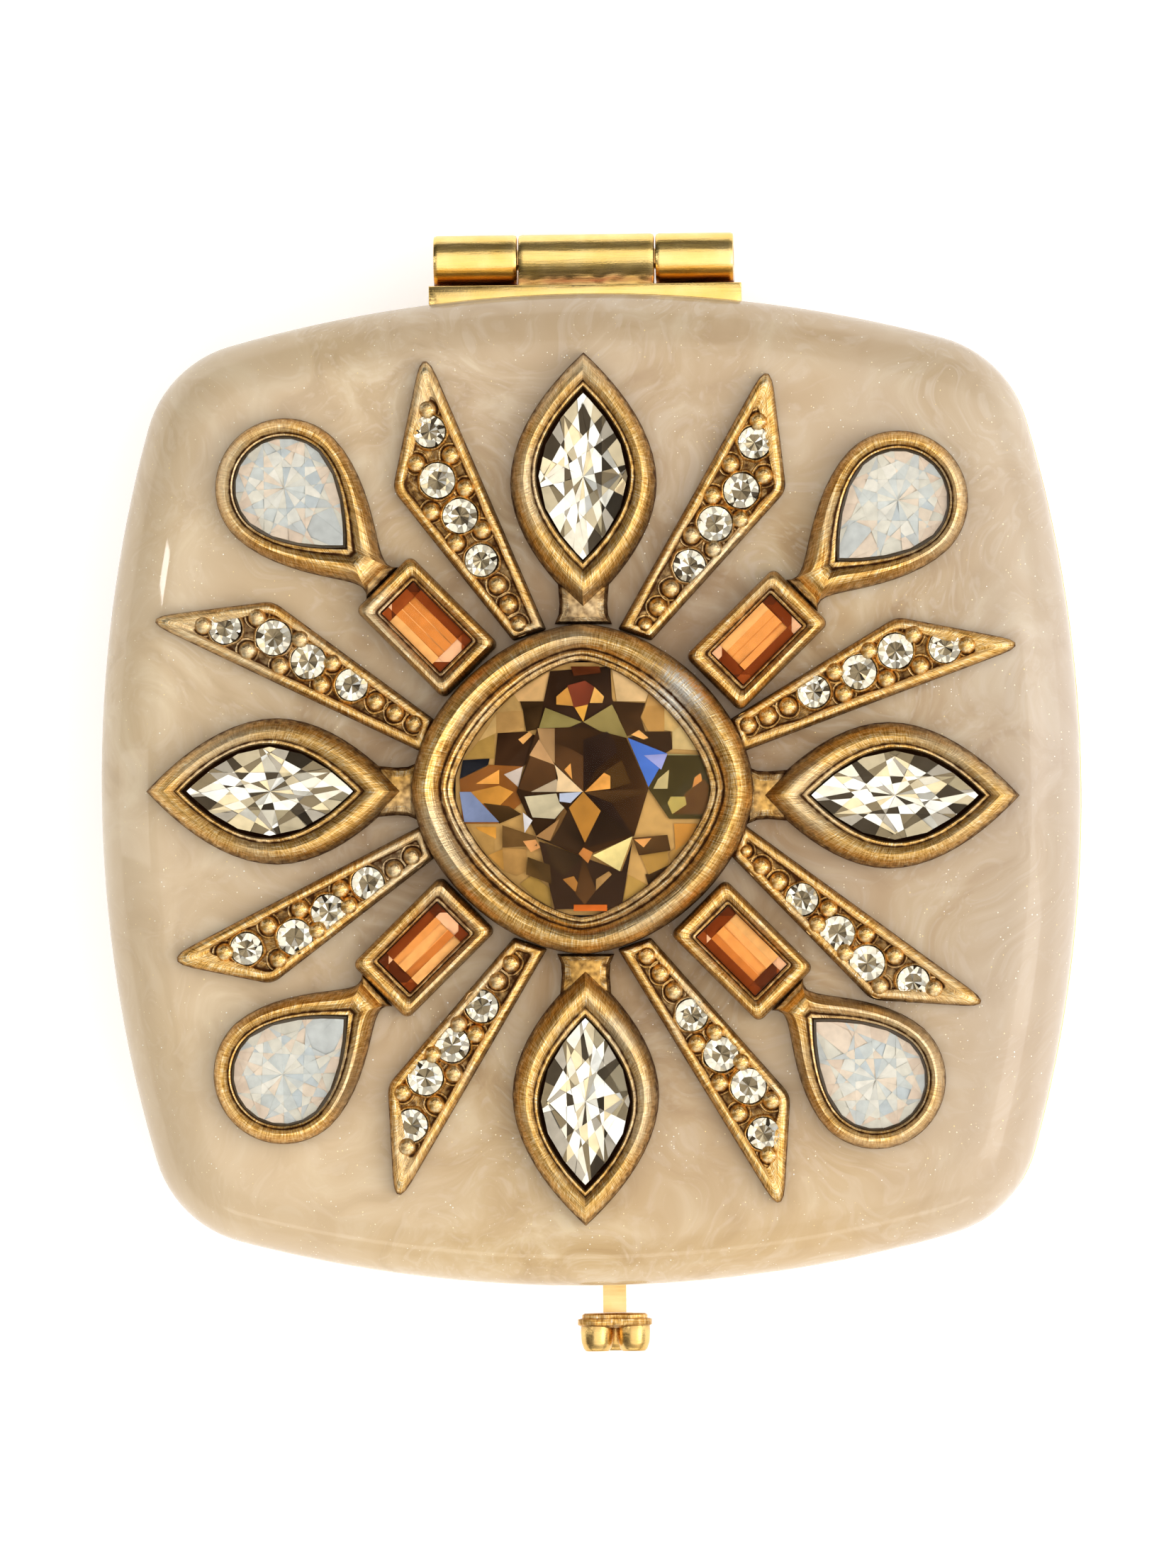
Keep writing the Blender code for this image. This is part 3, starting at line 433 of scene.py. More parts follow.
class Finish:
    """The node tree of a material or a world, round its first shader."""

    def __init__(self, name, kind="materials", shader="Principled BSDF"):
        self.material = getattr(bpy.data, kind).new(name)
        self.material.use_nodes = True
        self.nodes = self.material.node_tree.nodes
        self.links = self.material.node_tree.links
        self.shader = self.nodes[shader]

    def feed(self, socket, value):
        if isinstance(value, bpy.types.NodeSocket):
            self.links.new(value, socket)
        else:
            socket.default_value = value

    def set(self, **inputs):
        """Sets the shader's own sockets: base_color=..., coat_weight=... and so on."""
        for key, value in inputs.items():
            title = key.replace("_", " ").title().replace("Ior", "IOR")
            self.feed(self.shader.inputs[title], value)

    def node(self, kind, **settings):
        made = self.nodes.new("ShaderNode" + kind)
        for key, value in settings.items():
            setattr(made, key, value)
        return made

    def where(self, stretch=(1.0, 1.0, 1.0), turn=0.0):
        """The rest position in millimetres, stretched."""
        mapping = self.node("Mapping")
        self.links.new(self.node("TexCoord").outputs["Object"], mapping.inputs["Vector"])
        mapping.inputs["Scale"].default_value = [s / MM for s in stretch]
        mapping.inputs["Rotation"].default_value = (0.0, 0.0, math.radians(turn))
        return mapping.outputs["Vector"]

    def flow(self, stretch=(1.0, 1.0, 1.0)):
        """The UV map, in millimetres round a ring and across it, stretched."""
        mapping = self.node("Mapping")
        self.links.new(self.node("UVMap").outputs["UV"], mapping.inputs["Vector"])
        mapping.inputs["Scale"].default_value = stretch
        return mapping.outputs["Vector"]

    def axis(self, vector, name):
        """One axis of a vector."""
        split = self.node("SeparateXYZ")
        self.links.new(vector, split.inputs["Vector"])
        return split.outputs[name]

    def distance(self, vector, point):
        made = self.node("VectorMath", operation="DISTANCE")
        self.links.new(vector, made.inputs[0])
        made.inputs[1].default_value = point
        return made.outputs["Value"]

    def attribute(self, name):
        return self.node("Attribute", attribute_name=name)

    def noise(self, vector, scale, detail=4.0, distortion=0.0, output="Fac"):
        made = self.node("TexNoise")
        self.links.new(vector, made.inputs["Vector"])
        made.inputs["Scale"].default_value = scale
        made.inputs["Detail"].default_value = detail
        made.inputs["Distortion"].default_value = distortion
        return made.outputs[output]

    def maths(self, operation, first, second=0.0, clamp=False):
        made = self.node("Math", operation=operation, use_clamp=clamp)
        self.feed(made.inputs[0], first)
        self.feed(made.inputs[1], second)
        return made.outputs[0]

    def vector_maths(self, operation, first, second):
        made = self.node("VectorMath", operation=operation)
        self.feed(made.inputs[0], first)
        self.feed(made.inputs[1], second)
        return made.outputs[0]

    def mix(self, share, low, high):
        made = self.node("Mix", data_type="RGBA")
        self.feed(made.inputs[0], share)
        self.feed(made.inputs[6], low)
        self.feed(made.inputs[7], high)
        return made.outputs[2]

    def ramp(self, share, stops):
        """stops lists (place, colour or grey)."""
        made = self.node("ValToRGB")
        self.links.new(share, made.inputs["Fac"])
        elements = made.color_ramp.elements
        while len(elements) < len(stops):
            elements.new(0.5)
        for element, (spot, value) in zip(elements, stops):
            element.position = spot
            element.color = value if isinstance(value, tuple) else (value, value, value, 1.0)
        return made.outputs["Color"]

    def bump(self, height, distance, strength=1.0, normal=None):
        made = self.node("Bump")
        self.links.new(height, made.inputs["Height"])
        made.inputs["Distance"].default_value = distance * MM
        made.inputs["Strength"].default_value = strength
        if normal:
            self.links.new(normal, made.inputs["Normal"])
        return made.outputs["Normal"]


def pearl_enamel():
    """Champagne pearl resin: drifting swirls, gold and white glitter, under a clear gloss. Painted shade
    darkens it round the ornament and on the right side, and painted light makes the left side paler.
    """
    f = Finish("pearl_enamel")
    spot = f.where()
    drift = f.vector_maths("SUBTRACT", f.noise(spot, 0.07, 2.0, output="Color"), (0.5, 0.5, 0.5))
    warped = f.vector_maths("ADD", spot, f.vector_maths("MULTIPLY", drift, (26.0, 26.0, 26.0)))
    swirl = f.noise(warped, 0.13, 5.0, 1.8)
    wisps = f.noise(warped, 0.42, 6.0, 2.6)
    pearl = f.ramp(
        swirl,
        [
            (0.28, srgb(188, 156, 110)),
            (0.44, srgb(204, 174, 128)),
            (0.58, srgb(213, 187, 146)),
            (0.72, srgb(230, 211, 174)),
        ],
    )
    wisp_share = f.maths("MULTIPLY", f.ramp(wisps, [(0.5, 0.0), (0.66, 1.0)]), 0.5)
    pearl = f.mix(wisp_share, pearl, srgb(230, 212, 184))
    rosy = f.ramp(f.noise(spot, 0.055, 2.0), [(0.42, 0.0), (0.62, 1.0)])
    pearl = f.mix(f.maths("MULTIPLY", rosy, 0.4), pearl, srgb(204, 180, 156))
    golden = f.maths("MULTIPLY", f.axis(spot, "Y"), -0.011, clamp=True)
    pearl = f.mix(golden, pearl, srgb(210, 174, 118))
    # Painted shade on the right side: the enamel is drawn darker and cooler from X = 15 mm outwards.
    painted_shade_right = f.maths("SUBTRACT", f.maths("MULTIPLY", f.axis(spot, "X"), 0.05), 0.75, clamp=True)
    pearl = f.mix(painted_shade_right, pearl, srgb(188, 171, 154))
    # Painted light on the left side: the enamel is drawn paler from the middle out to X = -50 mm.
    painted_light_left = f.maths("MULTIPLY", f.axis(spot, "X"), -0.02, clamp=True)
    pearl = f.mix(painted_light_left, pearl, srgb(230, 207, 172))
    # Painted shade round the ornament: the enamel turns dark brown near the middle and clears by about 34 mm
    # out.
    reach = f.node("VectorMath", operation="LENGTH")
    f.links.new(spot, reach.inputs[0])
    far = f.maths("DIVIDE", reach.outputs["Value"], 60.0)
    painted_light_reach = f.maths("ADD", far, f.maths("MULTIPLY", swirl, 0.16))
    painted_shade_round_ornament = f.ramp(painted_light_reach, [(0.3, 0.95), (0.39, 0.62), (0.5, 0.24), (0.64, 0.0)])
    pearl = f.mix(painted_shade_round_ornament, pearl, srgb(120, 78, 20))
    flakes = f.node("TexVoronoi")
    f.links.new(spot, flakes.inputs["Vector"])
    flakes.inputs["Scale"].default_value = 6.5
    chance = f.node("SeparateColor")
    f.links.new(flakes.outputs["Color"], chance.inputs["Color"])
    chosen = f.maths("GREATER_THAN", chance.outputs["Red"], 0.91)
    size = f.maths("MULTIPLY", chance.outputs["Blue"], 0.3)
    near = f.maths("LESS_THAN", flakes.outputs["Distance"], size)
    glitter = f.maths("MULTIPLY", chosen, near)
    speck = f.mix(chance.outputs["Green"], srgb(255, 252, 244), srgb(244, 219, 150))
    f.set(
        base_color=f.mix(glitter, pearl, speck),
        metallic=0.08,
        roughness=f.ramp(swirl, [(0.3, 0.45), (0.7, 0.38)]),
        specular_ior_level=0.15,
        coat_weight=0.6,
        coat_roughness=0.03,
        coat_ior=1.42,
    )
    return f.material


def gold(name, colours, roughness, grain):
    """Plated metal: colour drift, satin grain and a few deeper rubs. The third colour goes where the
    patina_and_shade attribute says: tarnish, a painted red-brown reflection on the hinge barrels, and painted
    shade on the thumb piece's collets.
    """
    f = Finish(name)
    spot = f.where()
    cloud = f.noise(spot, 0.5, 5.0)
    fine = f.noise(spot, 9.0, 3.0)
    rubs = f.noise(f.where((0.4, 7.0, 7.0)), 1.0, 4.0)
    plated = f.ramp(cloud, [(0.3, colours[0]), (0.7, colours[1])])
    tarnish_and_shade = f.attribute("patina_and_shade").outputs["Fac"]
    worn_and_shaded = f.maths("MULTIPLY", tarnish_and_shade, f.maths("MULTIPLY", cloud, 2.0), clamp=True)
    low, high = roughness
    f.set(
        base_color=f.mix(worn_and_shaded, plated, colours[2]),
        metallic=1.0,
        roughness=f.ramp(rubs, [(0.3, low), (0.7, high)]),
        normal=f.bump(fine, grain, 0.5, f.bump(rubs, grain)),
    )
    return f.material


def antique_gold():
    """Brushed antique casting: strokes along each ring, their brightest parts painted highlights; silvery
    rubs, and a painted silvery sheen on the middle setting's upper right crest; brown patina in the recesses,
    and painted shade where the patina_and_shade attribute marks the joints and the thumb housing.
    """
    f = Finish("antique_gold")
    spot = f.where()
    strokes = f.noise(f.flow((0.7, 11.0, 1.0)), 1.0, 5.0)
    hatch = f.noise(f.flow((9.0, 1.0, 1.0)), 1.0, 5.0, 0.5)
    cast = f.noise(spot, 2.2, 5.0)
    cloud = f.noise(spot, 0.16, 3.0)
    brushed = f.maths("ADD", f.maths("MULTIPLY", strokes, 0.5), f.maths("MULTIPLY", hatch, 0.5))
    # Brushed strokes: real grain, whose ramp runs up to near white; its brightest stops are painted
    # highlights.
    brushed_with_painted_highlights = f.ramp(
        brushed,
        [
            (0.37, srgb(164, 112, 46)),
            (0.5, srgb(230, 180, 98)),
            (0.6, srgb(250, 222, 166)),
            (0.68, srgb(255, 248, 230)),
        ],
    )
    rubbed = f.maths("MULTIPLY", f.ramp(cloud, [(0.5, 0.0), (0.66, 1.0)]), 0.5)
    brushed_with_painted_highlights = f.mix(rubbed, brushed_with_painted_highlights, srgb(212, 200, 172))
    # Painted silvery sheen: a patch on the middle setting's upper right is drawn towards a pale silver.
    away = f.distance(spot, (ORNAMENT_X + 6.2, 6.0, LID_HIGH.z + 3))
    painted_light_reach = f.maths("ADD", f.maths("DIVIDE", away, 6.0), hatch)
    brushed_with_painted_highlights = f.mix(f.ramp(painted_light_reach, [(0.62, 1.0), (0.8, 0.0)]), brushed_with_painted_highlights, srgb(246, 238, 222))
    tarnish_and_shade = f.attribute("patina_and_shade").outputs["Fac"]
    mottle = f.maths("MULTIPLY", f.maths("SUBTRACT", cast, 0.5), 1.1)
    recess = f.maths("ADD", tarnish_and_shade, mottle, clamp=True)
    recess = f.ramp(recess, [(0.28, 0.0), (0.85, 1.0)])
    f.set(
        base_color=f.mix(recess, brushed_with_painted_highlights, srgb(82, 50, 26)),
        metallic=1.0,
        roughness=f.ramp(recess, [(0.0, 0.3), (1.0, 0.6)]),
        normal=f.bump(cast, 0.05, 0.5, f.bump(hatch, 0.05, 0.8, f.bump(strokes, 0.045, 0.8))),
    )
    return f.material


def crystal_facets(name, roughness, metallic=0.0):
    """Foil-backed facets under the glass: each one painted with the light, shade and reflections seen in it,
    over the stone's own hue where it has one, with a faint cloud across it.
    """
    f = Finish(name)
    facet = f.attribute("facet").outputs["Color"]
    cloud = f.noise(f.where(), 1.6, 3.0)
    shade = f.ramp(cloud, [(0.3, 0.9), (0.7, 1.08)])
    f.set(
        base_color=f.vector_maths("MULTIPLY", facet, shade),
        metallic=metallic,
        roughness=roughness,
        specular_ior_level=0.0,
    )
    return f.material


def clear_crown(name, tint):
    """The clear top of a stone: it only adds reflections to the facets below."""
    f = Finish(name)
    see_through = f.node("BsdfTransparent")
    see_through.inputs["Color"].default_value = tint
    shine = f.node("BsdfGlossy")
    shine.inputs["Roughness"].default_value = 0.02
    edge = f.node("Fresnel")
    edge.inputs["IOR"].default_value = 1.12
    both = f.node("MixShader")
    f.links.new(edge.outputs[0], both.inputs[0])
    f.links.new(see_through.outputs[0], both.inputs[1])
    f.links.new(shine.outputs[0], both.inputs[2])
    f.links.new(both.outputs[0], f.nodes["Material Output"].inputs["Surface"])
    f.nodes.remove(f.shader)
    return f.material


def satin(name, low, high, stretch, roughness):
    """Woven ribbon: fine ribs and a soft sheen."""
    f = Finish(name)
    ribs = f.noise(f.where(stretch), 1.0, 2.0)
    folds = f.noise(f.where(), 0.25, 3.0)
    f.set(
        base_color=f.ramp(folds, [(0.3, low), (0.7, high)]),
        roughness=roughness,
        sheen_weight=0.4,
        normal=f.bump(ribs, 0.05, 0.6),
    )
    return f.material


def matte(name, low, high, scale, grain, roughness, sheen=0.0):
    """Powder, card or velour: a cloudy colour and a fine grain."""
    f = Finish(name)
    spot = f.where()
    cloud = f.noise(spot, scale, 5.0)
    fine = f.noise(spot, 7.0, 4.0)
    f.set(
        base_color=f.ramp(cloud, [(0.3, low), (0.7, high)]),
        roughness=roughness,
        sheen_weight=sheen,
        normal=f.bump(fine, grain, 0.7),
    )
    return f.material


def silvered_mirror():
    f = Finish("mirror_silver")
    smudges = f.noise(f.where(), 0.12, 5.0, 1.0)
    f.set(
        base_color=f.ramp(smudges, [(0.3, srgb(236, 238, 238)), (0.7, srgb(246, 247, 246))]),
        metallic=1.0,
        roughness=f.ramp(smudges, [(0.45, 0.01), (0.7, 0.06)]),
    )
    return f.material


finishes = {
    "pearl_enamel": pearl_enamel(),
    "antique_gold": antique_gold(),
    # case_brass's third colour is painted shade on the thumb piece's collets, its only piece with
    # patina_and_shade.
    "case_brass": gold(
        "case_brass", (srgb(214, 170, 96), srgb(236, 200, 130), srgb(120, 74, 34)), (0.22, 0.34), 0.01
    ),
    # polished_gold's third colour darkens the hinge where patina_and_shade marks it; on the base barrels it
    # is a painted red-brown reflection.
    "polished_gold": gold(
        "polished_gold", (srgb(238, 196, 106), srgb(250, 216, 142), srgb(160, 84, 40)), (0.2, 0.32), 0.012
    ),
    "steel": gold(
        "gold_washed_steel",
        (srgb(236, 196, 124), srgb(246, 214, 150), srgb(150, 110, 70)),
        (0.3, 0.42),
        0.008,
    ),
    "tinplate": gold(
        "tinplate", (srgb(196, 196, 192), srgb(216, 216, 211), srgb(120, 120, 116)), (0.24, 0.36), 0.01
    ),
    "topaz_crystal": crystal_facets("topaz_facets", 0.2),
    "clear_crystal": crystal_facets("clear_facets", 0.12, 0.5),
    "amber_crystal": crystal_facets("amber_facets", 0.2, 0.2),
    "opal_crystal": crystal_facets("opal_facets", 0.3),
    "mirror_silver": silvered_mirror(),
    "backing_card": matte("backing_card", srgb(150, 144, 136), srgb(172, 166, 156), 0.6, 0.05, 0.9),
    "face_powder": matte("face_powder", srgb(222, 184, 154), srgb(231, 197, 169), 0.3, 0.03, 0.85),
    "velour": matte("velour", srgb(228, 208, 186), srgb(240, 224, 205), 0.5, 0.12, 0.95, 0.8),
    "satin_ribbon": satin("satin_ribbon", srgb(214, 190, 150), srgb(230, 209, 172), (12.0, 1.0, 1.0), 0.38),
}
topaz_crown = clear_crown("topaz_crown", (1.0, 0.97, 0.92, 1.0))
clear_top = clear_crown("clear_top", (1.0, 1.0, 1.0, 1.0))


# ---------------------------------------------------------------- case


def lid_skin(depth):
    """Rings of the surface depth under the lid's outside, from the wall's top to the middle."""
    wall_top = LID_HIGH.z - DOME_RISE - ROLL_HEIGHT
    rings = []
    for i in range(ROLL_STEPS + 1):
        angle = math.pi / 2 * i / ROLL_STEPS
        plan = cushion(ROLL_WIDTH - (ROLL_WIDTH - depth) * math.cos(angle))
        crown = [enamel_top(x, y) - depth - wall_top for x, y in plan]
        rings.append([(x, y, wall_top + rise * math.sin(angle)) for (x, y), rise in zip(plan, crown)])
    edge = cushion(ROLL_WIDTH)
    for scale in (0.95, 0.85, 0.7, 0.5, 0.25):
        ring = [(x * scale, y * scale) for x, y in edge]
        rings.append([(x, y, enamel_top(x, y) - depth) for x, y in ring])
    rings.append([(0.0, 0.0, enamel_top(0, 0) - depth)])
    return rings


def lid_enamel():
    foot = LID_LOW.z
    wall = LID_HIGH.z - DOME_RISE - ROLL_HEIGHT - foot
    rings = [at(cushion(ENAMEL), foot), at(cushion(EDGE_ROUNDING), foot)]
    rings += [at(cushion(EDGE_ROUNDING * 0.3), foot + EDGE_ROUNDING * 0.4)]
    rings += [at(cushion(0.0), foot + EDGE_ROUNDING)]
    rings += [at(cushion(0.0), foot + wall * share) for share in (0.3, 0.7)]
    rings += lid_skin(0.0)
    rings = list(reversed(lid_skin(ENAMEL))) + rings
    solid("lid_enamel_gloss", rings, "pearl_enamel", "lid", ["lid_enamel"], sharp=60)


def bowl_skin(depth):
    """Rings of the surface depth inside the base's outside, from the middle of the floor to the wall."""
    reach = BASE_ROLL - depth
    rings = [[(0.0, 0.0, depth)]]
    rings += [[(x * share, y * share, depth) for x, y in cushion(BASE_ROLL)] for share in (0.4, 0.8)]
    for i in range(ROLL_STEPS + 1):
        angle = math.pi / 2 * i / ROLL_STEPS
        plan = cushion(BASE_ROLL - reach * math.sin(angle))
        rings.append(at(plan, BASE_ROLL - reach * math.cos(angle)))
    return rings


def base_enamel():
    top = BASE_HIGH.z
    rings = bowl_skin(0.0)
    rings += [at(cushion(0.0), BASE_ROLL + (top - BASE_ROLL) * share) for share in (0.4, 0.8)]
    rings += [at(cushion(0.0), top - EDGE_ROUNDING)]
    rings += [at(cushion(EDGE_ROUNDING * 0.3), top - EDGE_ROUNDING * 0.4)]
    rings += [at(cushion(EDGE_ROUNDING), top), at(cushion(ENAMEL), top)]
    rings += reversed(bowl_skin(ENAMEL))
    cut_slot(solid("base_enamel_gloss", rings, "pearl_enamel", "base", ["base_enamel"], sharp=60))


def cut_slot(obj):
    """Cuts the latch's slot through a front wall."""
    outline = rounded_rectangle(STEM_HALF_WIDTH + SLOT_GAP, STEM_HALF_HEIGHT + SLOT_GAP, SLOT_GAP)
    outline = placed(outline, (LATCH_X, LATCH_Z), 0)
    cut(obj, [[(x, y, z) for x, z in outline] for y in (-HALF_DEPTH - 2, -HALF_DEPTH + 3)])


def cut(obj, rings):
    """Cuts the skin through rings out of an object, and removes the tool."""
    bm = bmesh.new()
    skin(bm, rings)
    tool = linked("tool", bm)
    modifier = obj.modifiers.new("cut", "BOOLEAN")
    modifier.operation = "DIFFERENCE"
    modifier.solver = "EXACT"
    modifier.object = tool
    apply_modifiers(obj)
    bpy.data.objects.remove(tool)


def apply_modifiers(obj):
    graph = bpy.context.evaluated_depsgraph_get()
    made = bpy.data.meshes.new_from_object(obj.evaluated_get(graph))
    obj.modifiers.clear()
    obj.data = made


def rim(inset, z, wave=0.0):
    """A ring of the metal rim. wave gives the hand-trimmed edge a slight ripple, only at the front."""
    ring = []
    for (x, y), (u, v) in zip(cushion(inset), cushion(inset + 1.0)):
        ripple = wave * (0.5 + noise.noise((x * 0.9, y * 0.9, z))) * (y < -0.8 * HALF_DEPTH)
        ring.append((x + (u - x) * ripple, y + (v - y) * ripple, z))
    return ring


def rim_band(low, high, wave):
    """Outer face of a rim, with rounded edges, from low to high."""
    rounded = [(RIM_ROUNDING, 0.0), (0.3 * RIM_ROUNDING, 0.3 * RIM_ROUNDING), (0.0, RIM_ROUNDING)]
    rings = [rim(back - RIM_PROUD, low + rise, wave) for back, rise in rounded]
    return rings + [rim(back - RIM_PROUD, high - rise, wave) for back, rise in reversed(rounded)]


def lid_shell():
    outside = ENAMEL + SHELL_GAP
    inside = outside + SHELL
    low = LID_SHELL_LOW.z
    flat = LID_HIGH.z - DOME_RISE - inside
    ceiling = [[(x, y, min(z, flat)) for x, y, z in ring] for ring in lid_skin(inside)]
    rings = list(reversed(lid_skin(outside)))
    rings += list(reversed(rim_band(low, low + RIM_HEIGHT, 0.04)))
    rings += [at(cushion(inside), low)] + ceiling
    solid("lid_brass", rings, "case_brass", "lid", ["lid_shell"])


def base_shell():
    outside = ENAMEL + SHELL_GAP
    inside = outside + SHELL
    top = BASE_SHELL_HIGH.z
    rings = bowl_skin(outside)
    rings += rim_band(top - RIM_HEIGHT, top, 0.04)
    rings += [at(cushion(inside), top)] + list(reversed(bowl_skin(inside)))
    cut_slot(solid("base_brass", rings, "case_brass", "base", ["base_shell"]))


lid_enamel()
base_enamel()
lid_shell()
base_shell()


# ---------------------------------------------------------------- hinge


def knuckle(bm, profile, span, patina_and_shade, wrinkle=0.0):
    """Sweeps a (y, z) profile along X between rounded ends. profile takes how far it is drawn in."""
    steps = 48
    stations = [(span[0], KNUCKLE_ROUNDING), (span[0] + 0.04, KNUCKLE_ROUNDING * 0.3)]
    first, last = span[0] + KNUCKLE_ROUNDING, span[1] - KNUCKLE_ROUNDING
    stations += [(first + (last - first) * i / steps, 0.0) for i in range(steps + 1)]
    stations += [(span[1] - 0.04, KNUCKLE_ROUNDING * 0.3), (span[1], KNUCKLE_ROUNDING)]
    rings = []
    for x, drawn_in in stations:
        ring = []
        for i, (y, z) in enumerate(profile(drawn_in)):
            ripple = wrinkle * noise.noise((x * 1.4, y * 2.2, z * 2.2)) * patina_and_shade[i]
            ring.append((x, y + ripple, z + ripple))
        rings.append(ring)
    skin(bm, rings, patina_and_shade=[patina_and_shade] * len(rings))


def drill(obj, span):
    """Bores the pin's hole."""
    ring = circle(BORE_RADIUS, 32, (HINGE_Y, HINGE_Z))
    cut(obj, [[(x, y, z) for y, z in ring] for x in (span[0] - 1, span[1] + 1)])


def base_knuckles():
    """Outer barrels, each rolled from a leaf on the base's back wall; the low front of each carries a painted
    red-brown reflection.
    """
    bottom, outer_top, inner_top = BASE_LEAF_Z
    leaf_outer = LEAF_INNER + LEAF_THICKNESS

    def profile(drawn_in):
        barrel = arc_points((HINGE_Y, HINGE_Z), BARREL_RADIUS - drawn_in, 180, -120, 40)
        outer_side = [(leaf_outer, outer_top), (leaf_outer, bottom)]
        return barrel + outer_side + [(LEAF_INNER, bottom), (LEAF_INNER, inner_top)]

    # The barrel's first points carry a painted red-brown reflection; the last four values darken the leaf.
    patina_and_shade = [max(0.0, 1 - i / 8) for i in range(41)] + [0.3, 0.3, 0.3, 1.0]
    for side in ("left", "right"):
        node = f"hinge_barrel_{side}"
        low, high = box_of(node)
        bm = bmesh.new()
        knuckle(bm, profile, (low.x, high.x), patina_and_shade)
        barrel = piece(f"hinge_knuckle_{side}", bm, "polished_gold", "base", [node], sharp=50)
        drill(barrel, (low.x, high.x))


def lid_leaf(bm):
    """Flat leaf on the lid's back wall: straight behind, and curved to the wall in front."""
    corners, small = [], []
    for i in range(25):
        x = LEAF_HIGH.x * (2 * i / 24 - 1)
        wall = HALF_DEPTH - SIDE_RADIUS + math.sqrt(SIDE_RADIUS**2 - x**2) + LEAF_CLEARANCE
        corners.append((x, wall))
        small.append((x * 0.99, wall))
    back = LEAF_INNER + LEAF_THICKNESS
    corners += [(LEAF_HIGH.x, back), (-LEAF_HIGH.x, back)]
    small += [(LEAF_HIGH.x * 0.99, back - 0.08), (-LEAF_HIGH.x * 0.99, back - 0.08)]
    low, high = HINGE_Z + 0.15, LEAF_HIGH.z
    rings = [at(small, low), at(corners, low + 0.08), at(corners, high - 0.08), at(small, high)]
    skin(bm, rings, patina_and_shade=[0.3, 0.1, 0.0, 0.05])


def lid_knuckle():
    """Middle barrel, whose leaf sweeps up in a hollow, slightly wrinkled curve to the lid's back wall."""
    middle = LEAF_INNER + LEAF_THICKNESS / 2

    def profile(drawn_in):
        barrel = arc_points((HINGE_Y, HINGE_Z), BARREL_RADIUS - drawn_in, 75, -180, 34)
        sweep_middle = (HINGE_Y + SWEEP_MIDDLE[0], SWEEP_MIDDLE[1])
        sweep = arc_points(sweep_middle, SWEEP_RADIUS + drawn_in, 205, 262, 12)
        return barrel + [(middle, HINGE_Z + 0.25), (middle, sweep[0][1])] + sweep

    patina_and_shade = [0.0] * 35 + [0.8, 0.5] + [0.1, 0.2, 0.5, 0.75, 0.7, 0.5, 0.3, 0.2, 0.1, 0.0, 0.0, 0.0, 0.0]
    bm = bmesh.new()
    knuckle(bm, profile, LID_BARREL, patina_and_shade, wrinkle=0.1)
    lid_leaf(bm)
    leaf_piece = piece("hinge_knuckle_lid", bm, "polished_gold", "lid", ["hinge_barrel_lid"], sharp=50)
    drill(leaf_piece, LID_BARREL)


base_knuckles()
lid_knuckle()


# ---------------------------------------------------------------- latch


COLLET_MIDDLES = {"left": (-1.12, 0.8), "right": (1.2, 0.8), "lower": (0.0, -1.3)}
# Radius, depth in front of the thumb piece's back, and painted shade.
COLLET_SECTION = [
    (0.95, 0.4, 0.9),
    (1.03, 0.6, 0.4),
    (1.05, 1.2, 0.0),
    (1.0, 1.85, 0.0),
    (0.86, 2.25, 0.0),
    (0.72, 2.4, 0.3),
    (0.6, 2.28, 0.9),
]
# How far out each lobe's middle is, its radius, depth in front of the thumb piece's back, and painted shade.
HOUSING_SECTION = [
    (1.2, 0.95, 0.0, 0.3),
    (1.25, 1.05, 0.1, 0.35),
    (1.25, 1.05, 0.3, 0.4),
    (1.4, 1.2, 0.36, 0.4),
    (1.4, 1.2, 0.72, 0.5),
    (1.2, 1.0, 0.9, 0.6),
]


def trefoil(reach, radius):
    outline = []
    for x, z in COLLET_MIDDLES.values():
        outward = math.degrees(math.atan2(z, x))
        lobe = (reach * math.cos(math.radians(outward)), reach * math.sin(math.radians(outward)))
        outline += arc_points(lobe, radius, outward + 75, outward - 75, 14)
    return outline


def facing_front(points, y):
    """Plan points read as (across, up), set at y in front of the latch."""
    return [(LATCH_X + x, y, LATCH_Z + z) for x, z in points]


def thumb_piece():
    """Trefoil housing darkened with painted shade, with three brighter tapered collets painted with shade at
    their foot and lip.
    """
    back = THUMB_HIGH.y
    rings = []
    for reach, radius, depth, _ in HOUSING_SECTION:
        rings.append(facing_front(trefoil(reach, radius), back - depth))
    # The housing's shares darken it with painted shade.
    shares = [step[3] for step in HOUSING_SECTION]
    solid("thumb_housing", rings, "antique_gold", "latch", ["thumb_piece"], patina_and_shade=shares)
    bm = bmesh.new()
    for x, z in COLLET_MIDDLES.values():
        cup = []
        for radius, depth, _ in COLLET_SECTION:
            cup.append(facing_front(circle(radius, 28, (x, z)), back - depth))
        skin(bm, cup, patina_and_shade=[step[2] for step in COLLET_SECTION])
    piece("thumb_collets", bm, "antique_gold", "latch", finish=finishes["case_brass"])


thumb_piece()


# ---------------------------------------------------------------- inside the case


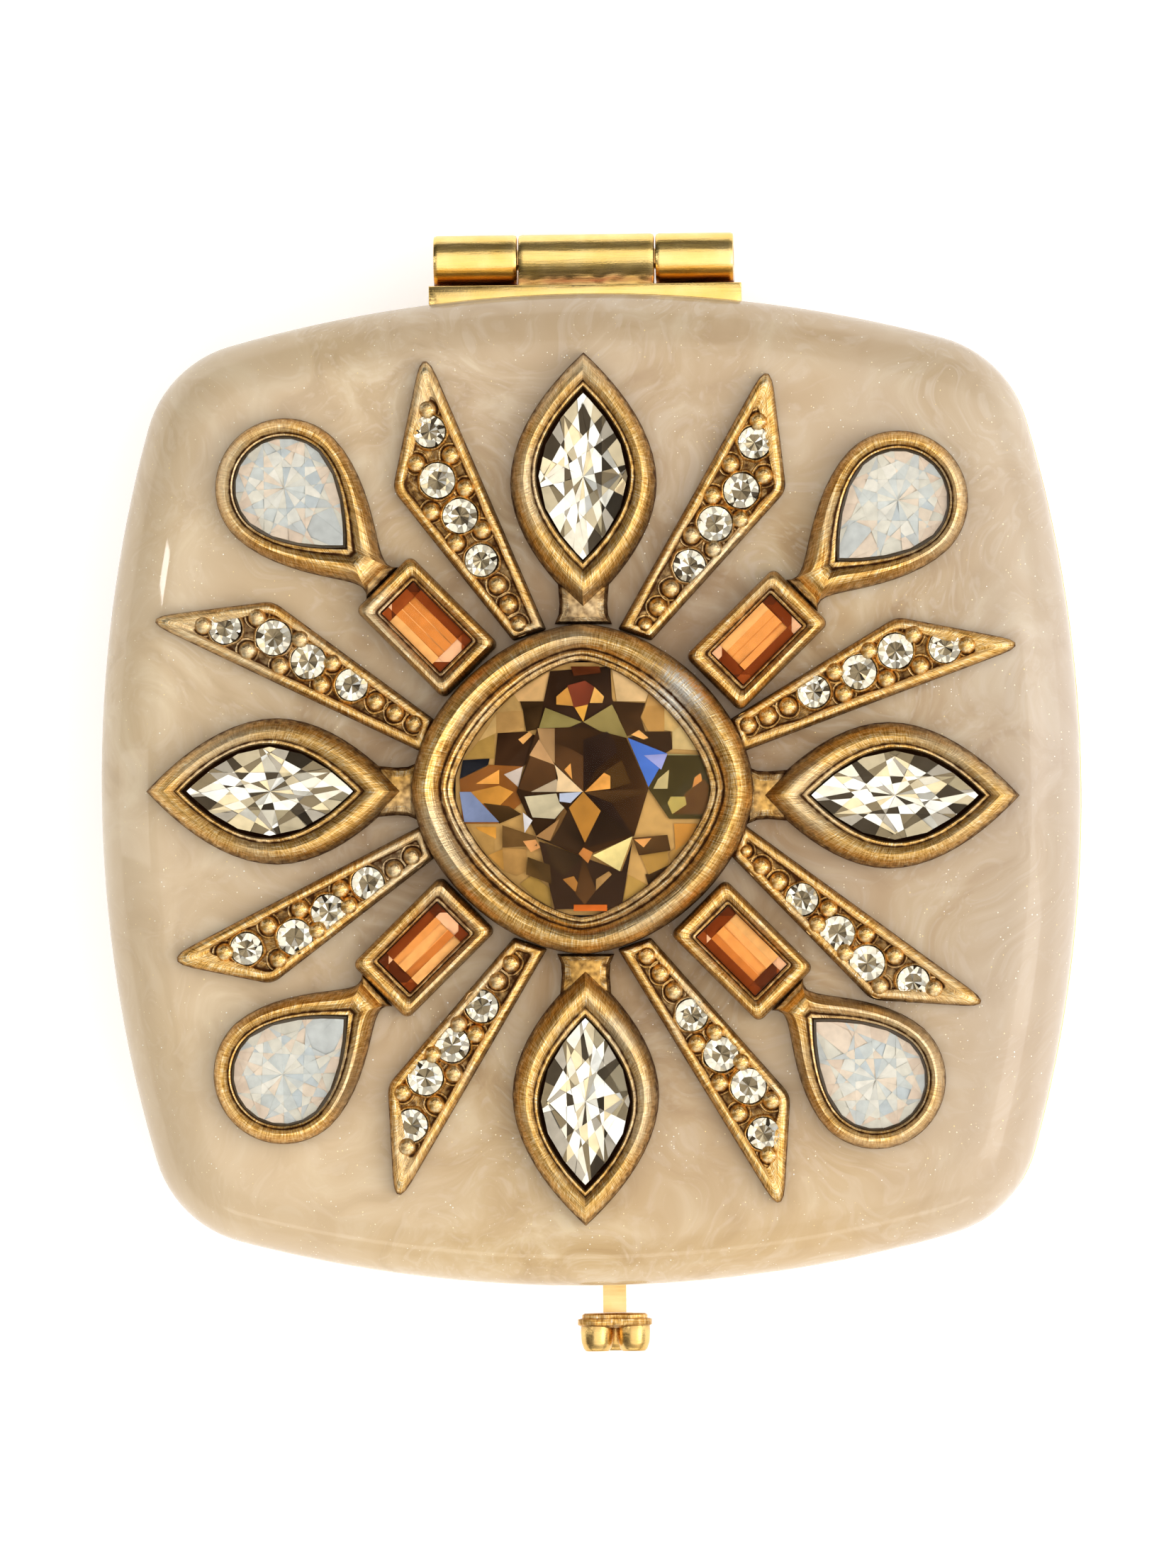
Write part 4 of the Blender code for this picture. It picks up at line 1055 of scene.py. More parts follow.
def pan_and_powder():
    """Pressed powder with a plain sunburst pressed into it, in a rolled-edge pan."""
    low, high = box_of("pressed_powder")
    radius = high.x
    rings = [at(circle(radius, 192), low.z), at(circle(radius, 192), high.z - 0.4)]
    for i in range(60):
        reach = (radius - 0.35) * (1 - i / 60)
        ring = []
        for x, y in circle(reach, 192):
            angle = math.atan2(y, x)
            petal = 0.5 + 0.5 * math.cos(16 * angle)
            band = max(0.0, 1 - abs(reach - 12.0) / 6.5)
            bead = max(0.0, 1 - abs(reach - 3.2) / 0.5)
            dip = 0.28 * min(1.0, 1.6 * petal * band) + 0.2 * bead
            ring.append((x, y, high.z - dip - 0.015 * noise.noise((x, y, 0.0))))
        rings.append(ring)
    rings.append([(0.0, 0.0, high.z)])
    solid("powder_cake", rings, "face_powder", "base", ["pressed_powder"], sharp=60)

    pan_low, pan_high = box_of("powder_pan")
    outer = pan_high.x
    section = [(0.0, pan_low.z), (outer - 0.3, pan_low.z), (outer, pan_low.z + 0.3)]
    section += [(outer, pan_high.z - 0.12), (outer - 0.06, pan_high.z - 0.03)]
    section += [(outer - 0.2, pan_high.z), (outer - 0.34, pan_high.z - 0.03)]
    section += [(outer - 0.4, pan_high.z - 0.12), (outer - 0.4, pan_low.z + 0.4), (0.0, pan_low.z + 0.4)]
    rings = [at(circle(reach), z) if reach else [(0.0, 0.0, z)] for reach, z in section]
    solid("pan_tin", rings, "tinplate", "base", ["powder_pan"])


def mirror():
    """Bevelled mirror in its frame."""
    low, high = box_of("mirror_glass")
    inset = HALF_WIDTH - high.x
    bevel = [(0.0, high.z), (0.0, low.z + 0.35), (0.9, low.z + 0.02), (1.0, low.z)]
    rings = [at(cushion(inset + back), z) for back, z in bevel]
    solid("mirror_plate", rings, "mirror_silver", "lid", ["mirror_glass"], sharp=15)

    frame_low, frame_high = box_of("mirror_frame")
    outer = HALF_WIDTH - frame_high.x
    lip = inset + 0.7
    face = low.z - 0.05
    section = [(outer, frame_high.z), (outer, frame_low.z + 0.1)]
    section += [(outer + 0.1, frame_low.z), (lip - 0.12, frame_low.z)]
    section += [(lip, frame_low.z + 0.06), (lip, face), (inset - 0.05, face), (inset - 0.05, frame_high.z)]
    rings = [at(cushion(back), z) for back, z in section]
    solid("mirror_bezel", rings, "polished_gold", "lid", ["mirror_frame"], closed=True)


PUFF_LOW, PUFF_HIGH = box_of("puff")
PUFF_SCALE = 20.0  # cloth behaves at this many times the real size
PUFF_CAP = 0.75  # the furthest that a point may swell
PUFF_SEAM = (PUFF_LOW.z + PUFF_HIGH.z) / 2 - 0.1  # height of the sewn edge
CORD_RADIUS = 0.27
CORD_TWISTS = 90
RIBBON_THICKNESS = 0.12


def paint(obj, slot):
    obj.data.materials.clear()
    obj.data.materials.append(finishes[slot])


def puff_start():
    """The slack pad that the simulation fills: a round disc, thinner towards its sewn edge."""
    radius = PUFF_HIGH.x - 0.5
    rings = []
    for share, height in ((0.0, -0.6), (0.35, -0.6), (0.7, -0.58), (0.93, -0.4), (1.0, 0.0)):
        z = PUFF_SEAM + height
        rings.append(at(circle(radius * share, 96), z) if share else [(0.0, 0.0, z)])
    rings += [[(x, y, 2 * PUFF_SEAM - z) for x, y, z in ring] for ring in reversed(rings[:-1])]
    bm = bmesh.new()
    skin(bm, rings)
    return bm


def inflate(obj):
    """Swells a closed mesh with Cloth pressure, caps how far each point went, and keeps the result."""
    bpy.context.view_layer.objects.active = obj
    remesh = obj.modifiers.new("voxels", "REMESH")
    remesh.mode = "VOXEL"
    remesh.voxel_size = 0.55 * MM * PUFF_SCALE
    apply_modifiers(obj)
    before = [v.co.copy() for v in obj.data.vertices]
    cloth = obj.modifiers.new("cloth", "CLOTH")
    cloth.settings.use_pressure = True
    cloth.settings.uniform_pressure_force = 4.0
    cloth.settings.effector_weights.gravity = 0.0
    cloth.settings.quality = 5
    scene = bpy.context.scene
    for number in range(1, 21):
        scene.frame_set(number)
    apply_modifiers(obj)
    scene.frame_set(1)
    for vert, start in zip(obj.data.vertices, before):
        move = vert.co - start
        cap = PUFF_CAP * MM * PUFF_SCALE
        if move.length > cap:
            vert.co = start + move * (cap / move.length)


def puff():
    """Velour puff: filled by simulation, flat where it rests, with a corded edge and a satin ribbon."""
    pad = linked("puff_pad", puff_start(), MM * PUFF_SCALE)
    inflate(pad)
    floor = PUFF_LOW.z * MM
    for vert in pad.data.vertices:
        vert.co /= PUFF_SCALE
        vert.co.z = max(vert.co.z, floor)
    smooth = pad.modifiers.new("smooth", "SUBSURF")
    smooth.levels = 1
    smooth.render_levels = 1
    apply_modifiers(pad)
    pad.data.shade_smooth()
    paint(pad, "velour")
    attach(pad, "base")
    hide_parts("puff")
    ribbon(pad)
    corded_edge()


def corded_edge():
    """Twisted cord sewn round the puff's edge."""
    radius = PUFF_HIGH.x - 0.32
    rings = []
    for i in range(480):
        turn = 2 * math.pi * i / 480
        ring = []
        for j in range(10):
            around = 2 * math.pi * j / 10
            lobe = CORD_RADIUS * (1 + 0.16 * math.cos(2 * around + CORD_TWISTS * turn))
            reach = radius + lobe * math.cos(around)
            z = PUFF_SEAM + lobe * math.sin(around)
            ring.append((reach * math.cos(turn), reach * math.sin(turn), z))
        rings.append(ring)
    solid("puff_cord", rings, "satin_ribbon", "base", closed=True, sharp=80)


def ribbon(pad):
    """Satin ribbon laid over the puff, a little slack in the middle, with its ends tucked over the edge."""
    low, high = box_of("puff_ribbon")
    corners = [v.co[:] for v in pad.data.vertices]
    tree = BVHTree.FromPolygons(corners, [p.vertices[:] for p in pad.data.polygons])
    columns, rows = 120, 20
    reach = PUFF_HIGH.x - 1.1
    rings = []
    for i in range(columns + 1):
        x = -reach + 2 * reach * i / columns
        line = []
        for j in range(rows + 1):
            y = low.y + (high.y - low.y) * j / rows
            hit = tree.ray_cast((x * MM, y * MM, 0.1), (0, 0, -1))[0]
            surface = hit.z / MM if hit else PUFF_LOW.z + 0.6
            slack = 0.45 * math.exp(-((x / 9.0) ** 2)) * (1 - (2 * j / rows - 1) ** 4 * 0.3)
            pucker = 0.04 * math.sin(2.6 * y) * (1 - math.exp(-((abs(x) - reach) ** 2) / 14))
            line.append((x, y, surface + 0.16 + slack + 0.25 * pucker))
        rings.append(line + [(x, y, z - RIBBON_THICKNESS) for x, y, z in reversed(line)])
    solid("grip_ribbon", rings, "satin_ribbon", "base", ["puff_ribbon"], sharp=60)


pan_and_powder()
mirror()
puff()
for part in frame["record"]["subparts"]:
    paint(frame["nodes"][part["node"]], part["material_slot"])


# ---------------------------------------------------------------- ornament: metal


# Sections: share of the way from the outer edge to the opening, height, and tarnish.
CENTER_SECTION = [
    (0.0, 0.0, 1.0),
    (0.0, 0.8, 1.0),
    (0.02, 1.7, 0.75),
    (0.08, 2.4, 0.5),
    (0.18, 2.95, 0.25),
    (0.32, 3.35, 0.0),
    (0.46, 3.5, 0.0),
    (0.6, 3.42, 0.0),
    (0.74, 3.18, 0.1),
    (0.84, 2.9, 0.45),
    (0.9, 2.72, 1.0),
    (0.96, 2.78, 0.5),
    (1.02, 2.88, 0.1),
    (1.08, 2.84, 0.2),
    (1.13, 2.68, 0.9),
    (1.18, 2.66, 0.35),
    (1.28, 2.62, 0.3),
    (1.33, 2.55, 0.9),
    (1.35, 1.2, 1.0),
]
NAVETTE_SECTION = [
    (0.0, 0.0, 1.0),
    (0.0, 0.5, 1.0),
    (0.03, 0.95, 0.75),
    (0.12, 1.45, 0.5),
    (0.26, 1.92, 0.2),
    (0.42, 2.2, 0.0),
    (0.55, 2.28, 0.0),
    (0.68, 2.18, 0.05),
    (0.8, 1.98, 0.4),
    (0.86, 1.84, 0.9),
    (0.92, 1.88, 0.4),
    (0.98, 1.86, 0.15),
    (1.03, 1.7, 0.6),
    (1.06, 1.3, 1.0),
    (1.08, 0.9, 1.0),
    (1.3, 0.6, 1.0),
]
BAGUETTE_SECTION = [
    (0.0, 0.0, 1.0),
    (0.0, 1.0, 0.7),
    (0.04, 1.5, 0.4),
    (0.14, 1.85, 0.15),
    (0.3, 2.08, 0.0),
    (0.5, 2.12, 0.0),
    (0.66, 2.0, 0.1),
    (0.78, 1.84, 0.6),
    (0.84, 1.74, 1.0),
    (0.92, 1.76, 0.4),
    (0.99, 1.7, 0.3),
    (1.03, 1.5, 1.0),
    (1.05, 0.8, 1.0),
]
PEAR_SECTION = [
    (0.0, 0.0, 1.0),
    (0.0, 0.5, 0.9),
    (0.04, 0.95, 0.6),
    (0.14, 1.45, 0.35),
    (0.3, 1.95, 0.1),
    (0.46, 2.2, 0.0),
    (0.6, 2.22, 0.0),
    (0.72, 2.06, 0.15),
    (0.82, 1.86, 0.7),
    (0.87, 1.78, 1.0),
    (0.93, 1.82, 0.3),
    (1.0, 1.78, 0.2),
    (1.04, 1.55, 0.9),
    (1.06, 0.9, 1.0),
]


def opening_like(outer, opening):
    """A pointed opening with one point for each point of the setting's outline."""
    middle, half_length, half_width = opening
    first = min(p[0] for p in outer)
    last = max(p[0] for p in outer)
    points = []
    for along, across in outer:
        spot = 2 * (along - first) / (last - first) - 1
        side = math.copysign(1.0, across) if abs(across) > 1e-6 else 0.0
        points.append((middle + half_length * spot, side * half_width * leaf(spot)))
    return points


def setting(bm, outer, inner, section):
    """Cast collar round a stone, slightly uneven as a hand-finished casting is."""
    rings = []
    for share, height, _ in section:
        ring = []
        for x, y in blend(outer, inner, share):
            uneven = 0.05 * noise.noise((x * 0.45, y * 0.45, height)) * min(1.0, height)
            ring.append((x, y, height + uneven))
        rings.append(ring)
    skin(bm, rings, patina_and_shade=[step[2] for step in section], caps=False)


def web(bm, stations, height):
    """Low joint between two settings, darkened with painted shade, from (along, half width) stations."""
    outline = from_half_widths(stations)
    middle = middle_of(outline)
    # The third column darkens the joint with painted shade, strongest at its foot.
    crown = [(0.0, 0.0, 1.0), (0.0, 0.6, 0.85), (0.15, 0.9, 0.6), (0.4, 1.0, 0.5)]
    rings = [at(blend(outline, [middle] * len(outline), share), height * rise) for share, rise, _ in crown]
    skin(bm, rings, patina_and_shade=[step[2] for step in crown])


def cast(name, node, bm):
    """A piece of the lid's antique gold casting, already draped."""
    piece(name, bm, "antique_gold", "lid", [node])


def center_bezel():
    bm = bmesh.new()
    setting(bm, rounded_diamond(*CENTER_BEZEL), rounded_diamond(*CENTER_OPENING), CENTER_SECTION)
    cast("center_setting", "center_bezel", drape(bm))


def navette_bezel(name, origin, angle):
    bm = bmesh.new()
    outer = navette_setting()
    setting(bm, outer, opening_like(outer, NAVETTE_OPENING), NAVETTE_SECTION)
    inner_tip = NAVETTE_MIDDLE - NAVETTE_INNER
    neck = [(-0.9, 1.8), (-0.3, 1.55), (0.4, 1.5), (1.6, 1.6)]
    web(bm, [(inner_tip + along, half) for along, half in neck], 1.2)
    cast(f"navette_setting_{name}", f"navette_bezel_{name}", place(bm, origin, angle))


def baguette_bezel(name, middle, turn):
    bm = bmesh.new()
    outer = rounded_rectangle(*BAGUETTE_HALF, 0.45, 5)
    inner = rounded_rectangle(*BAGUETTE_OPENING, 0.12, 5)
    setting(bm, outer, inner, BAGUETTE_SECTION)
    cast(f"baguette_setting_{name}", f"baguette_bezel_{name}", place(bm, middle, turn))


def pear_bezel(name, middle, tail, turn):
    bm = bmesh.new()
    outer = pear(PEAR_RADIUS, tail, PEAR_TAIL_HALF_WIDTH)
    inner = pear(*PEAR_OPENING, 0.05)
    setting(bm, outer, inner, PEAR_SECTION)
    web(bm, [(tail - 2.2, 1.2), (tail - 1.0, 0.95), (tail - 0.2, 1.15), (tail + 0.1, 1.4)], 1.5)
    cast(f"pear_setting_{name}", f"pear_bezel_{name}", place(bm, middle, turn))


def inset_corners(corners, distance):
    """Moves each side of a convex polygon inwards, and returns the new corners."""
    inward = 1 if signed_area(corners) > 0 else -1
    moved = []
    for i, corner in enumerate(corners):
        before, after = Vector(corners[i - 1]), Vector(corners[(i + 1) % len(corners)])
        corner = Vector(corner)
        first = (corner - before).normalized()
        second = (after - corner).normalized()
        left = Vector((-first.y, first.x)) * inward
        right = Vector((-second.y, second.x)) * inward
        share = 1 + left.dot(right)
        moved.append(corner + (left + right) * (distance / share))
    return moved


def signed_area(points):
    return sum(p[0] * q[1] - q[0] * p[1] for p, q in zip(points, points[1:] + points[:1])) / 2


def fine_polygon(corners, radii, steps=14, turns=5):
    """Polygon with rounded corners and many points along its sides."""
    points = []
    count = len(corners)
    for i in range(count):
        corner = Vector(corners[i])
        before = Vector(corners[i - 1]) - corner
        after = Vector(corners[(i + 1) % count]) - corner
        reach = min(radii[i], 0.4 * before.length, 0.4 * after.length)
        start, end = corner + before.normalized() * reach, corner + after.normalized() * reach
        for k in range(turns + 1):
            t = k / turns
            points.append(start * (1 - t) ** 2 + corner * 2 * t * (1 - t) + end * t**2)
        following = Vector(corners[(i + 1) % count])
        ahead = Vector(corners[(i + 2) % count]) - following
        far = min(radii[(i + 1) % count], 0.4 * (following - corner).length, 0.4 * ahead.length)
        stop = following + (corner - following).normalized() * far
        points += [end.lerp(stop, k / steps) for k in range(1, steps)]
    return [(p.x, p.y) for p in points]


class Ray:
    """One pavé ray: its corners, and the frame that runs along it from its tip."""

    def __init__(self, tip, shoulder):
        tip_angle = math.degrees(math.atan2(tip[1], tip[0]))
        cardinal = 90 * round(tip_angle / 90)
        side = math.copysign(1.0, tip_angle - cardinal)
        root_angle = math.radians(cardinal + side * RAY_INNER_ANGLE)
        root = Vector((math.cos(root_angle), math.sin(root_angle))) * RAY_INNER_DISTANCE
        across = Vector((-math.sin(root_angle), math.cos(root_angle))) * side * RAY_INNER_HALF_WIDTH
        self.tip = Vector(tip)
        outward = (2 * self.tip - root + across - Vector(shoulder)).normalized()
        sharp_tip = self.tip + outward * RAY_TIP_SHARPENING * RAY_TIP_ROUNDING
        self.along = (root - self.tip).normalized()
        end = root + self.along * RAY_ROOT_REACH
        self.corners = [sharp_tip, end - across, end + across, Vector(shoulder)]
        self.across = Vector((-self.along.y, self.along.x))
        if self.across.dot(Vector(shoulder) - self.tip) < 0:
            self.across = -self.across

    def spot(self, along, across):
        return self.tip + self.along * along + self.across * across

    def seat(self, along, across, radius):
        """A place for a round thing near (along, across), kept inside the rim, and the radius that fits."""
        place = self.spot(along, across)
        inward = 1 if signed_area(self.corners) > 0 else -1
        for _ in range(40):
            margins = []
            for i, corner in enumerate(self.corners):
                side = self.corners[(i + 1) % 4] - corner
                normal = Vector((-side.y, side.x)).normalized() * inward
                margin = (place - corner).dot(normal)
                margins.append(margin)
                short = radius + RAY_EDGE - margin
                if short > 0 and i != 1:
                    place = place + normal * short * 0.5
        return place, min(radius, min(margins) - RAY_EDGE)


def worked_ring(bm, middle, section):
    """Metal pushed up round a bead or a stone, a little uneven. section lists (radius, height, tarnish)."""
    rings = []
    for radius, height, _ in section:
        ring = []
        for x, y in circle(radius, 28, middle):
            push = 1 + 0.1 * noise.noise((x * 1.6, y * 1.6, 5.0))
            ring.append((middle[0] + (x - middle[0]) * push, middle[1] + (y - middle[1]) * push, height))
        rings.append(ring)
    skin(bm, rings, patina_and_shade=[step[2] for step in section], caps=False)


def ray_metal(name, ray):
    """Filed rim round a dark, worked bed, with collars for the stones and gold beads between them."""
    bm = bmesh.new()
    section = [(0.0, 0.0, 1.0), (0.0, 0.7, 0.8), (0.08, 1.0, 0.45), (0.22, 1.24, 0.1)]
    section += [(0.34, RAY_HEIGHT, 0.0), (RAY_RIM - 0.08, RAY_HEIGHT, 0.0), (RAY_RIM, 1.24, 0.3)]
    section += [(RAY_RIM + 0.08, 1.06, 0.95), (RAY_RIM + 0.2, RAY_BED, 0.7)]
    rings = []
    for distance, height, _ in section:
        tip_reach = RAY_TIP_CURVE * RAY_TIP_ROUNDING * max(0.3, 1 - distance)
        corners = inset_corners(ray.corners, distance)
        if distance >= RAY_RIM:
            corners[0] = corners[0] + ray.along * RAY_SOLID_TIP
        outline = fine_polygon(corners, (tip_reach, 0.15, 0.15, 0.6))
        ring = []
        for x, y in outline:
            wobble = noise.noise((x * 1.3, y * 1.3, 3.0))
            file_mark = 0.035 * noise.noise((x * 4.0, y * 4.0, 9.0)) * (height > 1)
            pull = 0.1 * wobble * (distance >= RAY_RIM)
            ring.append((x + pull, y - pull, height + file_mark + 0.04 * wobble * (height > 1)))
        rings.append(ring)
    middle = middle_of(rings[-1])
    half_way = []
    for x, y, _ in rings[-1]:
        half_way.append((middle[0] + (x - middle[0]) * 0.5, middle[1] + (y - middle[1]) * 0.5, RAY_BED))
    rings.append(half_way)
    rings.append([(*middle, RAY_BED)])
    skin(bm, rings, patina_and_shade=[step[2] for step in section] + [0.6, 0.6])
    for along, across, size in CHATONS:
        (x, y), size = ray.seat(along, across, size)
        collar = [(size + 0.26, 0.98, 0.7), (size + 0.2, 1.16, 0.2), (size + 0.1, 1.26, 0.0)]
        collar += [(size + 0.03, 1.22, 0.9), (size - 0.06, 1.0, 1.0)]
        worked_ring(bm, (x, y), collar)
    for along, across in BEADS:
        (x, y), radius = ray.seat(along, across, BEAD_RADIUS)
        moat = [(radius + 0.24, 0.98, 0.7), (radius + 0.18, 1.1, 0.4)]
        moat += [(radius + 0.1, 1.09, 0.7), (radius, 1.01, 1.0)]
        worked_ring(bm, (x, y), moat)
        add_ball(bm, (x, y, 1.05), radius, 0.95, patina_foot=0.7)
    piece(f"ray_pave_{name}", drape(bm), "antique_gold", "lid", [f"ray_{name}"], sharp=50)


# ---------------------------------------------------------------- ornament: stones


# Painted light, shade and reflections for the facets of the clear stones, which have no colour of their own.
CLEAR_STONE_LIGHT = [
    (255, 252, 240),
    (236, 216, 172),
    (136, 120, 92),
    (252, 246, 228),
    (200, 184, 150),
    (72, 62, 48),
    (242, 232, 208),
    (176, 166, 148),
]
# Opal facets: partly the stone's own milky colour, and partly painted light, shade and reflection from facet
# to facet.
OPAL = [
    (224, 220, 206),
    (206, 209, 202),
    (228, 222, 204),
    (234, 216, 192),
    (212, 214, 206),
    (236, 230, 214),
    (198, 204, 202),
]
OPAL_RIM = [(226, 204, 180), (220, 214, 196), (204, 206, 200), (232, 212, 188)]
# Amber facets: the stone's own orange, lighter and darker from facet to facet with painted light and shade.
# The end facets are painted dark red-brown shade, with one painted pale reflection.
AMBER = [(242, 156, 78), (228, 138, 62), (250, 172, 96), (210, 120, 50)]
AMBER_END = [(124, 54, 20), (156, 74, 30), (96, 44, 20), (250, 190, 140)]


